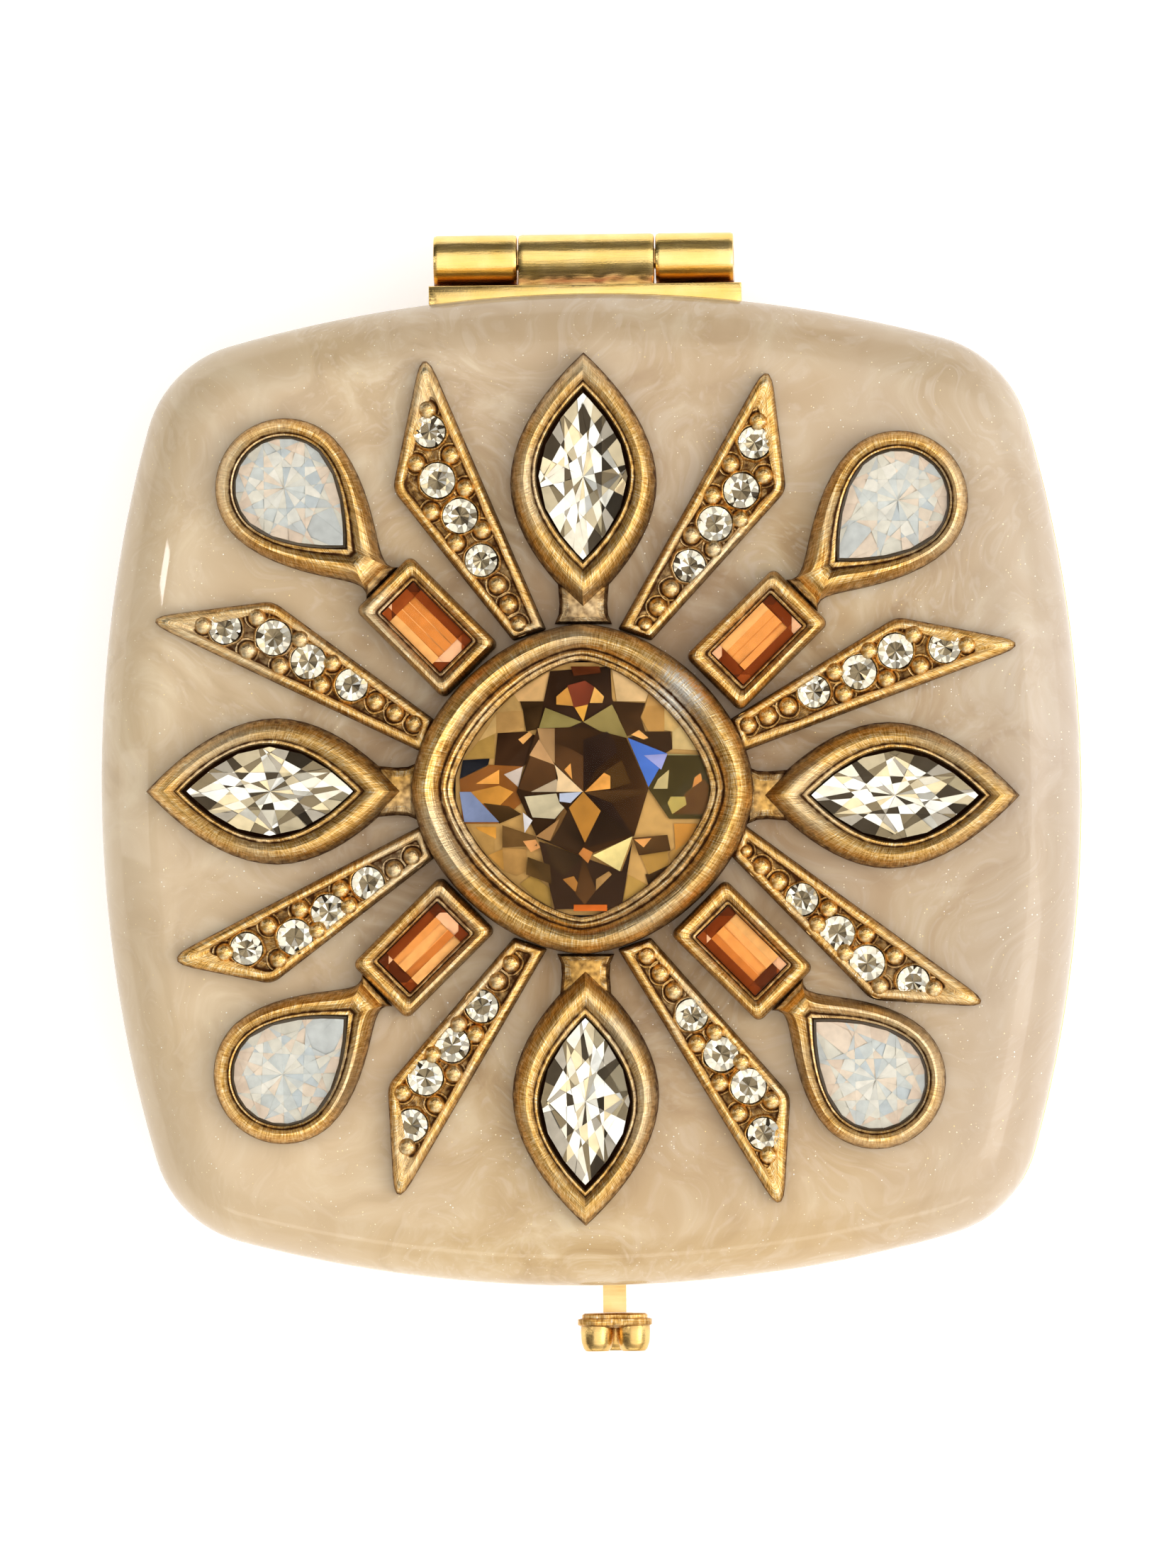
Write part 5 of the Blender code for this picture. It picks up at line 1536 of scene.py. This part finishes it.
# Each facet's colour, and its corners from the stone's middle. This table is traced from the reference
# photograph: the corners were picked in an enlarged crop, and a script turned them into millimetres and
# rescaled the colours.
# Painted light: the colours are the light, shade and reflections seen in each facet of the brown topaz, with
# blue painted reflections among them.
TOPAZ_FACETS = [
    # rim and blocks
    ((213, 172, 116), (-4.3, 6.0), (-2.0, 7.4), (-2.0, 7.0), (-2.4, 5.5), (-4.0, 5.5)),
    ((195, 153, 93), (-5.4, 4.8), (-4.3, 4.9), (-3.7, 4.9), (-3.6, 3.9), (-4.6, 3.5), (-5.4, 3.5)),
    ((206, 167, 104), (-4.3, 6.0), (-4.0, 5.5), (-3.7, 4.9), (-5.3, 4.8)),
    ((183, 146, 77), (-5.5, 3.5), (-5.5, 1.9), (-7.4, 1.9), (-6.5, 3.0)),
    ((213, 176, 114), (-6.5, 3.0), (-5.4, 4.7), (-5.4, 3.5)),
    ((220, 186, 135), (1.9, 7.5), (4.3, 6.3), (4.0, 5.5), (2.2, 5.5)),
    ((206, 160, 95), (4.3, 6.3), (5.2, 5.4), (5.2, 4.9), (4.0, 5.2)),
    ((193, 146, 81), (4.0, 5.2), (5.2, 5.3), (5.2, 3.6), (4.2, 3.6), (3.7, 4.5)),
    ((216, 181, 116), (5.2, 5.4), (6.3, 4.0), (5.7, 3.6), (5.2, 3.7)),
    ((213, 186, 128), (6.3, 4.0), (7.9, 2.4), (5.7, 2.5), (5.7, 3.6)),
    ((204, 160, 93), (-7.1, -2.3), (-5.5, -3.1), (-5.5, -4.1), (-6.0, -4.2)),
    ((227, 162, 70), (-6.7, -2.4), (-5.4, -2.4), (-5.4, -3.1), (-5.8, -3.4)),
    ((181, 139, 81), (-5.0, -3.7), (-3.5, -3.8), (-3.5, -5.2), (-4.1, -5.5), (-4.9, -5.2)),
    ((206, 153, 77), (-5.9, -4.2), (-5.0, -3.8), (-4.9, -5.2)),
    ((174, 139, 72), (-3.9, -6.0), (-3.1, -5.4), (-2.0, -6.3), (-1.9, -7.5), (-2.9, -6.9)),
    ((186, 148, 77), (2.5, -7.5), (2.9, -5.4), (4.2, -6.1), (3.6, -6.8)),
    ((169, 130, 65), (3.7, -4.2), (5.4, -3.9), (5.5, -4.8), (4.2, -5.4)),
    ((197, 151, 81), (5.5, -4.0), (6.9, -3.1), (6.3, -4.2), (5.6, -4.8)),
    ((218, 153, 70), (5.8, -2.2), (7.3, -2.2), (6.8, -3.2), (5.9, -3.9)),
    ((53, 36, 19), (4.2, -6.1), (4.0, -5.4), (5.5, -4.8), (5.2, -5.4)),
    ((42, 27, 17), (-2.0, 7.4), (1.8, 7.7), (1.9, 5.7), (2.9, 3.3), (-2.7, 3.8), (-2.4, 5.5)),
    ((53, 37, 20), (-3.9, 5.5), (-2.0, 5.5), (-2.6, 3.8), (-3.5, 3.6), (-3.7, 4.9)),
    ((46, 29, 17), (-5.3, 3.5), (-3.5, 3.6), (-2.8, 3.3), (-3.2, 1.8), (-3.7, 1.4), (-5.5, 1.5)),
    ((56, 37, 20), (1.9, 5.5), (4.0, 5.4), (3.7, 4.5), (4.0, 3.6), (2.8, 3.3), (2.3, 4.6)),
    ((43, 29, 17), (4.0, 3.6), (5.6, 3.6), (5.7, 2.5), (5.2, 2.2), (2.9, 3.2)),
    ((248, 186, 111), (-4.0, 3.1), (-3.3, 3.6), (-3.1, 3.4), (-3.7, 2.8)),
    ((232, 174, 102), (3.1, 3.4), (3.6, 3.7), (4.2, 3.2), (3.9, 3.1)),
    # west
    ((26, 27, 33), (-7.5, 1.8), (-5.8, 1.9), (-5.9, 1.5), (-7.3, 0.8), (-7.7, 0.6)),
    (
        (142, 87, 38),
        *((-7.7, 0.6), (-5.8, 1.5), (-3.7, 1.4), (-4.1, -0.2), (-3.7, -0.8), (-5.3, -2.2), (-7.5, -2.2)),
    ),
    ((251, 176, 84), (-6.7, 0.3), (-5.2, 1.2), (-5.2, 0.3)),
    ((206, 144, 63), (-7.0, -0.2), (-5.2, 0.2), (-4.3, -0.2), (-5.2, -1.1), (-6.5, -0.9)),
    ((130, 146, 188), (-7.7, -0.2), (-7.0, -0.2), (-5.2, -2.1), (-7.4, -2.1)),
    ((68, 48, 26), (-6.2, -0.9), (-4.6, -1.1), (-3.8, -1.6), (-5.2, -2.2)),
    ((204, 190, 181), (-4.9, 0.9), (-3.7, 1.4), (-4.0, 0.1)),
    # east
    ((66, 56, 30), (5.2, 2.1), (8.0, 2.1), (8.3, 0.3), (8.0, -1.9), (5.5, -1.9), (4.2, -0.0)),
    ((155, 146, 100), (5.4, 2.2), (8.0, 2.1), (8.0, 1.6), (5.6, 1.8)),
    ((106, 72, 38), (6.6, -0.2), (7.7, 0.6), (8.0, 0.2), (7.9, -1.6), (5.6, -1.6)),
    ((234, 190, 121), (5.5, 1.6), (6.6, 1.6), (6.8, 0.9), (6.5, 0.6), (5.5, 0.7)),
    ((227, 155, 79), (7.1, 0.7), (7.5, 1.0), (7.6, 0.3), (6.9, -0.2)),
    ((200, 183, 130), (4.5, -0.0), (4.8, 0.6), (5.5, 1.2), (5.4, -0.0)),
    ((186, 165, 90), (5.6, -0.5), (6.5, -0.5), (6.6, -1.0), (5.7, -1.6), (5.4, -0.9)),
    ((77, 116, 206), (2.9, 3.2), (5.4, 2.2), (4.2, 0.1)),
    ((158, 165, 227), (3.9, 2.1), (5.4, 2.2), (5.0, 1.2)),
    # north
    ((85, 42, 20), (-0.7, 7.7), (1.1, 7.7), (1.2, 7.3), (-0.5, 7.1)),
    ((206, 148, 70), (-1.6, 5.8), (-0.9, 6.4), (-0.5, 5.2), (-1.6, 5.3)),
    ((230, 176, 95), (0.8, 6.4), (1.4, 5.8), (1.3, 5.4), (0.5, 5.4)),
    ((125, 59, 38), (-0.9, 6.5), (0.2, 6.8), (0.8, 6.4), (0.4, 5.3), (-0.5, 5.1)),
    ((244, 181, 77), (-0.5, 5.2), (0.5, 5.7), (0.1, 4.2)),
    ((151, 137, 81), (-2.3, 5.1), (-0.0, 4.2), (-1.4, 3.6), (-2.7, 3.8)),
    ((148, 132, 79), (0.1, 4.2), (1.9, 5.3), (2.9, 3.2), (1.2, 3.6)),
    ((190, 165, 102), (1.6, 5.0), (1.9, 5.3), (2.3, 4.5)),
    # table
    (
        (52, 33, 17),
        *((0.1, 3.9), (2.8, 3.2), (4.2, -0.0), (3.3, -3.0)),
        *((0.1, -4.3), (-2.8, -3.1), (-4.1, -0.2), (-2.8, 3.8)),
    ),
    ((66, 43, 23), (0.1, -0.2), (0.1, 3.1), (-1.4, 3.8), (-2.0, 3.0), (-1.7, 1.6)),
    ((37, 24, 17), (0.1, -0.2), (0.1, 3.1), (1.6, 3.6), (2.5, 2.5), (0.9, 1.2)),
    ((79, 55, 27), (0.1, -0.2), (1.6, 1.2), (3.0, 2.1), (3.9, 0.6), (1.9, -0.0)),
    ((62, 42, 22), (0.1, -0.2), (3.9, -0.0), (4.2, -0.2), (1.9, -0.9)),
    ((35, 23, 16), (0.1, -0.2), (1.2, -1.2), (3.2, -2.9), (1.9, -0.9)),
    ((165, 130, 88), (-2.8, 3.8), (-1.7, 3.8), (-1.7, 1.6), (-2.5, 2.4)),
    ((204, 160, 111), (-2.7, 3.1), (-1.7, 1.5), (-3.3, 2.1)),
    ((69, 45, 24), (-3.2, 2.1), (-1.7, 1.5), (-1.6, 0.6), (-3.2, -0.2), (-4.0, -0.0)),
    ((246, 176, 93), (-1.1, 1.2), (-0.7, 1.6), (-0.6, 0.6)),
    ((183, 165, 139), (-3.2, -0.2), (-1.6, 0.6), (-1.1, -0.2)),
    ((248, 218, 172), (-1.7, 1.5), (0.1, -0.2), (-1.6, -0.2), (-1.5, 0.7)),
    ((200, 190, 160), (-3.6, -0.5), (-1.6, -0.3), (-1.4, -0.9), (-1.1, -1.2), (-1.7, -1.9), (-3.1, -1.8)),
    ((197, 209, 237), (-1.4, -0.3), (-0.0, -0.2), (-0.7, -0.9), (-1.4, -0.8)),
    ((241, 241, 248), (-3.7, -1.5), (-3.1, -2.0), (-3.6, -2.8)),
    ((169, 128, 81), (-2.9, -3.0), (-1.4, -1.9), (-2.0, -3.3)),
    ((106, 76, 42), (-1.1, -1.2), (-0.8, -1.6), (-1.4, -3.1), (-2.0, -3.3), (-1.6, -1.9)),
    ((43, 29, 17), (-0.8, -1.2), (0.2, -3.4), (-0.1, -4.0), (-2.0, -3.4), (-1.4, -2.4)),
    ((39, 26, 16), (1.2, -1.2), (3.2, -2.9), (0.4, -3.7), (0.2, -3.4)),
    ((179, 125, 53), (0.1, -0.2), (1.2, -1.4), (0.2, -3.4), (-0.8, -1.2)),
    ((246, 174, 86), (0.2, -0.2), (1.4, 1.0), (1.8, 0.8), (1.8, -0.0)),
    # south
    ((43, 29, 19), (-2.7, -3.3), (0.1, -4.3), (2.5, -5.2), (3.2, -3.3), (2.5, -7.5), (-1.7, -7.6)),
    ((50, 36, 22), (-2.3, -3.4), (0.1, -4.3), (-1.1, -5.5), (-2.0, -4.8)),
    ((68, 45, 24), (-0.4, -6.6), (0.1, -4.3), (0.9, -6.4), (0.2, -7.3)),
    ((172, 118, 58), (-1.2, -5.7), (-0.5, -5.5), (-0.2, -6.0), (-0.4, -6.5)),
    ((176, 137, 84), (0.9, -5.7), (1.7, -5.2), (1.9, -5.4), (0.9, -6.4)),
    ((223, 114, 44), (-0.5, -7.3), (1.6, -7.3), (1.6, -7.7), (-0.5, -7.7)),
    ((200, 130, 67), (0.1, -3.7), (0.7, -4.0), (0.4, -4.7), (-0.2, -4.1)),
    ((234, 216, 146), (0.7, -4.2), (3.2, -3.0), (2.4, -5.2)),
    ((71, 49, 26), (3.2, -3.1), (5.4, -2.9), (5.6, -3.9), (3.6, -4.2)),
    ((239, 169, 97), (3.3, -3.2), (4.4, -3.1), (3.9, -3.7)),
    ((104, 76, 42), (-5.0, -2.3), (-2.9, -3.0), (-2.8, -3.6), (-5.0, -3.7)),
    ((232, 165, 102), (-3.7, -3.3), (-2.9, -3.2), (-2.6, -3.7), (-3.2, -4.0)),
    ((75, 55, 29), (-3.4, -4.3), (-2.0, -4.8), (-1.9, -6.0), (-3.5, -5.4)),
]


TOPAZ_GROUND = (204, 162, 98)
TOPAZ_LEVEL = 2.2
TOPAZ_STEP = 0.005  # height of each facet above the one before it
# Each facet corner's colour is scaled by a random glow between the least and the most: painted light, which
# can lift the brightest facets above white.
TOPAZ_DARK = 200  # a facet whose colour adds up to less than this may glow more
TOPAZ_GLOW = (0.8, 1.25, 2.4)  # least, most, and most for a dark facet
# Height of each cut's facets at the rim, how deep they dish, and the clear top's foot and table.
NAVETTE_LEVELS = (1.6, 0.5, 1.62, 2.1)
BAGUETTE_LEVELS = (1.5, 0.35, 1.52, 1.93)
PEAR_LEVELS = (1.55, 0.5, 1.57, 2.0)
CHATON_LEVELS = (1.27, 0.18, 1.29, 1.52)
THUMB_LEVELS = (0.0, 0.1, 0.02, 0.28)
THUMB_STONE_RADIUS = 0.6
THUMB_STONE_SINK = 0.3


def cells(outline, cuts):
    """A flat polygon cut into cells. A cut is (angle of its normal, distance, nearest, farthest): it divides
    only the cells whose middles lie between nearest and farthest from the stone's middle."""
    bm = bmesh.new()
    bm.faces.new([bm.verts.new((x, y, 0.0)) for x, y in outline])
    for angle, distance, nearest, farthest in cuts:
        normal = Vector((math.cos(math.radians(angle)), math.sin(math.radians(angle)), 0.0))
        chosen = [f for f in bm.faces if nearest <= f.calc_center_median().length <= farthest]
        edges = list({e for f in chosen for e in f.edges})
        geometry = chosen + edges + list({v for f in chosen for v in f.verts})
        bmesh.ops.bisect_plane(bm, geom=geometry, dist=1e-5, plane_co=normal * distance, plane_no=normal)
    bmesh.ops.split_edges(bm, edges=bm.edges)
    return bm


def fan(count, first=0.0, nearest=0.0, farthest=99.0):
    """Cuts through the middle, evenly turned."""
    return [(first + 180 * i / count, 0.0, nearest, farthest) for i in range(count)]


def ring_of_cuts(count, distance, first=0.0, nearest=0.0, farthest=99.0):
    return [(first + 360 * i / count, distance, nearest, farthest) for i in range(count)]


def facet(bm, scale, level, depth, tilt, colour_of, rng):
    """Scales the cells, dishes and tilts each one, and colours it."""
    tint = bm.loops.layers.float_color.new("facet")
    bm.verts.layers.float.new("patina_and_shade")
    radius = max(v.co.length for v in bm.verts)
    for face in bm.faces:
        middle = face.calc_center_median()
        slope = Vector((rng.uniform(-tilt, tilt), rng.uniform(-tilt, tilt), 0.0))
        colour = srgb(*colour_of(middle, rng))
        for loop in face.loops:
            loop[tint] = colour
            away = loop.vert.co - middle
            lean = away.x * scale[0] * slope.x + away.y * scale[1] * slope.y
            loop.vert.co.z = level - depth * (1 - loop.vert.co.length / radius) + lean
    bmesh.ops.scale(bm, vec=(*scale, 1.0), verts=bm.verts)
    return bm


def crown(outline, table_share, low, high):
    """Clear faceted top: outline points at low, and every second one drawn to the table at high."""
    bm = bmesh.new()
    middle = middle_of(outline)
    edge = [bm.verts.new((x, y, low)) for x, y in outline]
    table_outline = blend(outline, [middle] * len(outline), 1 - table_share)[::2]
    table = [bm.verts.new((x, y, high)) for x, y in table_outline]
    for i in range(0, len(edge), 2):
        a, b, c = edge[i], edge[i + 1], edge[(i + 2) % len(edge)]
        here, following = table[i // 2], table[(i // 2 + 1) % len(table)]
        for corners in ((a, b, here), (b, c, following), (b, following, here)):
            bm.faces.new(corners)
    bm.faces.new(table)
    return bm


def any_of(colours):
    def colour_of(_, rng):
        return rng.choice(colours)

    return colour_of


def mirrored(colours, folds):
    """Colours that repeat in each fold of the stone, as a real cut does, with a few strays."""

    def colour_of(middle, rng):
        angle = math.degrees(math.atan2(middle.y, middle.x)) % (360 / folds)
        turned = min(angle, 360 / folds - angle)
        key = int(turned / 6) * 7 + int(middle.length * 9)
        return rng.choice(colours) if rng.random() < 0.3 else colours[key % len(colours)]

    return colour_of


def stone(name, slot, bm, top, origin, turn, node, glass=None):
    """The coloured facets and the clear top of one stone."""
    piece(f"{name}_facets", place(bm, origin, turn), slot, "lid", [node] if node else [], sharp=0)
    piece(f"{name}_top", place(top, origin, turn), slot, "lid", finish=glass or clear_top, sharp=0)


def center_stone():
    """Each facet seen through the table lies a little above the ones that it covers."""
    bm = bmesh.new()
    tint = bm.loops.layers.float_color.new("facet")
    bm.verts.layers.float.new("patina_and_shade")
    rng = random.Random(7)
    ground = (TOPAZ_GROUND, *center_girdle(0.1))
    dimmest, bright, brighter = TOPAZ_GLOW
    for number, (colour, *corners) in enumerate([ground] + TOPAZ_FACETS):
        lean_x, lean_y = rng.uniform(-0.004, 0.004), rng.uniform(-0.004, 0.004)
        level = TOPAZ_LEVEL + TOPAZ_STEP * number
        face = bm.faces.new([bm.verts.new((x, y, level + lean_x * x + lean_y * y)) for x, y in corners])
        brightest = brighter if sum(colour) < TOPAZ_DARK else bright
        for loop in face.loops:
            glow = rng.uniform(dimmest, brightest)
            loop[tint] = (*[channel * glow for channel in srgb(*colour)[:3]], 1.0)
    top = crown(center_girdle(0.02), 0.62, 2.72, 3.7)
    stone("topaz", "topaz_crystal", bm, top, (0.0, 0.0), 0.0, "center_stone", topaz_crown)


def navette_stone(name, origin, angle, number):
    rng = random.Random(20 + number)
    middle, half_length, half_width = NAVETTE_STONE
    cuts = fan(8, 8.0) + ring_of_cuts(6, 0.42, 30.0)
    cuts += ring_of_cuts(4, 0.62, 45.0) + ring_of_cuts(4, 0.25, 20.0)
    unit = navette(0.0, 1.0, 1.0, 8)
    level, dish, low, high = NAVETTE_LEVELS
    bm = facet(cells(unit, cuts), (half_length, half_width), level, dish, 0.2, mirrored(CLEAR_STONE_LIGHT, 2), rng)
    bmesh.ops.translate(bm, verts=bm.verts, vec=(middle, 0.0, 0.0))
    top = crown(navette(middle, half_length, half_width, 8), 0.55, low, high)
    stone(f"navette_{name}", "clear_crystal", bm, top, origin, angle, f"navette_stone_{name}")


def baguette_stone(name, middle, turn, number):
    """Step cut: long parallel bands on the table, a painted dark band along one long side and a painted light
    band along the other, and shorter reddish facets of painted shade at the ends.
    """
    rng = random.Random(40 + number)

    def colour_of(spot, rng):
        if abs(spot.x) > 1.85:
            return rng.choice(AMBER_END)
        # Painted shade along the +Y side and painted light along the -Y side.
        if abs(spot.y) > 0.82:
            return (130, 58, 22) if spot.y > 0 else (252, 184, 108)
        return rng.choice(AMBER)

    cuts = [(90, 0.82, 0, 99), (90, -0.82, 0, 99), (0, 1.9, 0, 99), (0, -1.9, 0, 99)]
    cuts += [(90, 0.36, 0, 1.8), (90, 0.3, 0, 1.8), (90, -0.28, 0, 1.8), (90, -0.34, 0, 1.8)]
    cuts += [(45, 2.2, 1.85, 99), (-45, 2.2, 1.85, 99), (135, 2.2, 1.85, 99), (-135, 2.2, 1.85, 99)]
    outline = [(-2.6, -1.4), (2.6, -1.4), (2.6, 1.4), (-2.6, 1.4)]
    level, dish, low, high = BAGUETTE_LEVELS
    bm = facet(cells(outline, cuts), (1.0, 1.0), level, dish, 0.14, colour_of, rng)
    top = crown(rounded_rectangle(2.6, 1.4, 0.15, 1), 0.66, low, high)
    stone(f"baguette_{name}", "amber_crystal", bm, top, middle, turn, f"baguette_stone_{name}")


def pear_stone(name, middle, turn, number):
    rng = random.Random(60 + number)
    cuts = fan(8, 5.0) + ring_of_cuts(8, 1.3, 0.0) + ring_of_cuts(8, 2.3, 22.5)
    outline = pear(3.1, 5.2, 0.0, 10)

    def colour_of(spot, rng):
        return rng.choice(OPAL_RIM if spot.length > 2.4 else OPAL)

    level, dish, low, high = PEAR_LEVELS
    bm = facet(cells(outline, cuts), (1.0, 1.0), level, dish, 0.14, colour_of, rng)
    top = crown(pear(3.1, 5.2, 0.0, 8), 0.6, low, high)
    stone(f"opal_{name}", "opal_crystal", bm, top, middle, turn, f"pear_stone_{name}")


def ray_stones(name, ray, number):
    """Small brilliants in the collars of one ray, kept together."""
    rng = random.Random(80 + number)
    below, above = bmesh.new(), bmesh.new()
    level, dish, low, high = CHATON_LEVELS
    for along, across, size in CHATONS:
        (x, y), size = ray.seat(along, across, size)
        turn = rng.uniform(0, 45)
        cuts = fan(8, 0.0) + ring_of_cuts(8, 0.52, 22.5)
        unit = cells(circle(1.0, 24), cuts)
        bm = facet(unit, (size, size), level, dish, 0.3, mirrored(CLEAR_STONE_LIGHT, 8), rng)
        top = crown(circle(size, 16), 0.55, low, high)
        for part, joined in ((bm, below), (top, above)):
            moved(part, (x, y, 0.0), turn)
            mesh = bpy.data.meshes.new("part")
            part.to_mesh(mesh)
            part.free()
            joined.from_mesh(mesh)
            bpy.data.meshes.remove(mesh)
    stone(f"brilliants_{name}", "clear_crystal", below, above, (0.0, 0.0), 0.0, None)


def thumb_stones():
    """Small brilliants that face forwards in the thumb piece's collets."""
    level, dish, low, high = THUMB_LEVELS
    for number, (name, (x, z)) in enumerate(COLLET_MIDDLES.items()):
        rng = random.Random(120 + number)
        cut_cells = cells(circle(1.0, 16), fan(8) + ring_of_cuts(8, 0.5, 22.5))
        bm = facet(cut_cells, (THUMB_STONE_RADIUS,) * 2, level, dish, 0.3, any_of(CLEAR_STONE_LIGHT), rng)
        top = crown(circle(THUMB_STONE_RADIUS, 16), 0.5, low, high)
        for part, suffix, finish in ((bm, "facets", None), (top, "top", clear_top)):
            moved(part, (LATCH_X + x, THUMB_LOW.y + THUMB_STONE_SINK, LATCH_Z + z), 90, "X")
            nodes = [f"thumb_stone_{name}"] if suffix == "facets" else []
            piece(f"thumb_{name}_{suffix}", part, "clear_crystal", "latch", nodes, finish, sharp=0)


def ornament():
    center_bezel()
    center_stone()
    for number, (name, angle) in enumerate(COMPASS.items()):
        shift = NAVETTE_SHIFT[name]
        origin = (shift, 0.0) if name in ("north", "south") else (0.0, shift)
        navette_bezel(name, origin, angle)
        navette_stone(name, origin, angle, number)
    for number, (name, (baguette, round_end)) in enumerate(DIAGONALS.items()):
        turn = 45 * round(math.degrees(math.atan2(-baguette[1], -baguette[0])) / 45)
        baguette_bezel(name, baguette, turn)
        baguette_stone(name, baguette, turn, number)
        tail_turn = math.degrees(math.atan2(baguette[1] - round_end[1], baguette[0] - round_end[0]))
        tail = math.dist(baguette, round_end) - BAGUETTE_HALF[0] - PEAR_TAIL_GAP
        pear_bezel(name, round_end, tail, tail_turn)
        pear_stone(name, round_end, tail_turn, number)
    for number, (name, (tip, shoulder)) in enumerate(RAYS.items()):
        ray = Ray(tip, shoulder)
        ray_metal(name, ray)
        ray_stones(name, ray, number)


ornament()
thumb_stones()


# ---------------------------------------------------------------- stage


def area_light(name, location, aim, size, power, colour=(1.0, 1.0, 1.0)):
    data = bpy.data.lights.new(name, "AREA")
    data.shape = "RECTANGLE"
    data.size, data.size_y = size
    data.energy = power
    data.color = colour
    light = bpy.data.objects.new(name, data)
    light.location = location
    light.rotation_euler = (Vector(aim) - Vector(location)).to_track_quat("-Z", "Y").to_euler()
    light.visible_camera = False
    bpy.context.scene.collection.objects.link(light)


def pale_floor():
    f = Finish("pale_floor")
    cloud = f.noise(f.where((0.02, 0.02, 0.02)), 1.0, 3.0)
    white = f.ramp(cloud, [(0.3, 0.9), (0.7, 0.93)])
    f.set(base_color=white, roughness=0.9, emission_color=white, emission_strength=0.5)
    bm = bmesh.new()
    skin(bm, [at(rounded_rectangle(1500, 1500, 300, 8), -0.02), [(0.0, 0.0, -0.02)]], caps=False)
    floor = linked("floor", bm)
    floor.data.materials.append(f.material)


def surroundings():
    """Studio room: bright above, darker towards the horizon."""
    f = Finish("studio", "worlds", "Background")
    bpy.context.scene.world = f.material
    direction = f.node("TexCoord").outputs["Generated"]
    height = f.ramp(f.axis(direction, "Z"), [(0.0, 0.4), (0.2, 0.3), (0.5, 0.36), (1.0, 0.5)])
    towards_key = f.node("VectorMath", operation="DOT_PRODUCT")
    f.links.new(direction, towards_key.inputs[0])
    towards_key.inputs[1].default_value = (0.85, -0.53, 0.0)
    sideways = f.node("MapRange")
    f.links.new(towards_key.outputs["Value"], sideways.inputs["Value"])
    for name, value in (("From Min", -0.9), ("From Max", 0.9), ("To Min", 0.05), ("To Max", 1.6)):
        sideways.inputs[name].default_value = value
    f.set(color=f.vector_maths("MULTIPLY", height, sideways.outputs["Result"]))


def camera():
    """Straight above, tipped a little to the right and the front, with the case leaning anticlockwise."""
    target = Vector((ORNAMENT_X + 0.335, 0.313, LID_HIGH.z)) * MM
    right, front, roll = math.radians(1.4), math.radians(0.5), math.radians(0.7)
    back = Vector((math.sin(right), -math.sin(front), math.cos(right)))
    data = bpy.data.cameras.new("camera")
    data.lens = 436.8
    data.clip_start = 0.1
    view = bpy.data.objects.new("camera", data)
    view.location = target + back.normalized() * 1.2
    up = Vector((math.sin(roll), math.cos(roll), 0.0))
    across = up.cross(back).normalized()
    up = back.cross(across).normalized()
    view.rotation_euler = Matrix((across, up, back.normalized())).transposed().to_euler()
    bpy.context.scene.collection.objects.link(view)
    bpy.context.scene.camera = view


pale_floor()
surroundings()
area_light("overhead", (0.3, -0.03, 0.9), (0, 0, 0), (1.55, 1.65), 9.2)
area_light("key", (0.75, -0.25, 0.75), (0, 0, 0), (0.4, 0.5), 1.6)
area_light("spark", (-0.61, 0.15, 0.85), (0, 0, 0), (0.03, 0.18), 0.45)
area_light("left_strip", (-0.62, 0.0, 0.22), (0, 0, 0.01), (0.06, 0.9), 0.5, (1.0, 0.97, 0.92))
area_light("right_strip", (0.62, 0.05, 0.26), (0, 0, 0.01), (0.1, 0.9), 0.8, (0.94, 0.97, 1.0))
area_light("front_strip", (0.0, -0.62, 0.24), (0, 0, 0.01), (0.8, 0.08), 0.6, (1.0, 0.96, 0.88))
camera()
bpy.context.scene.view_settings.view_transform = "Standard"
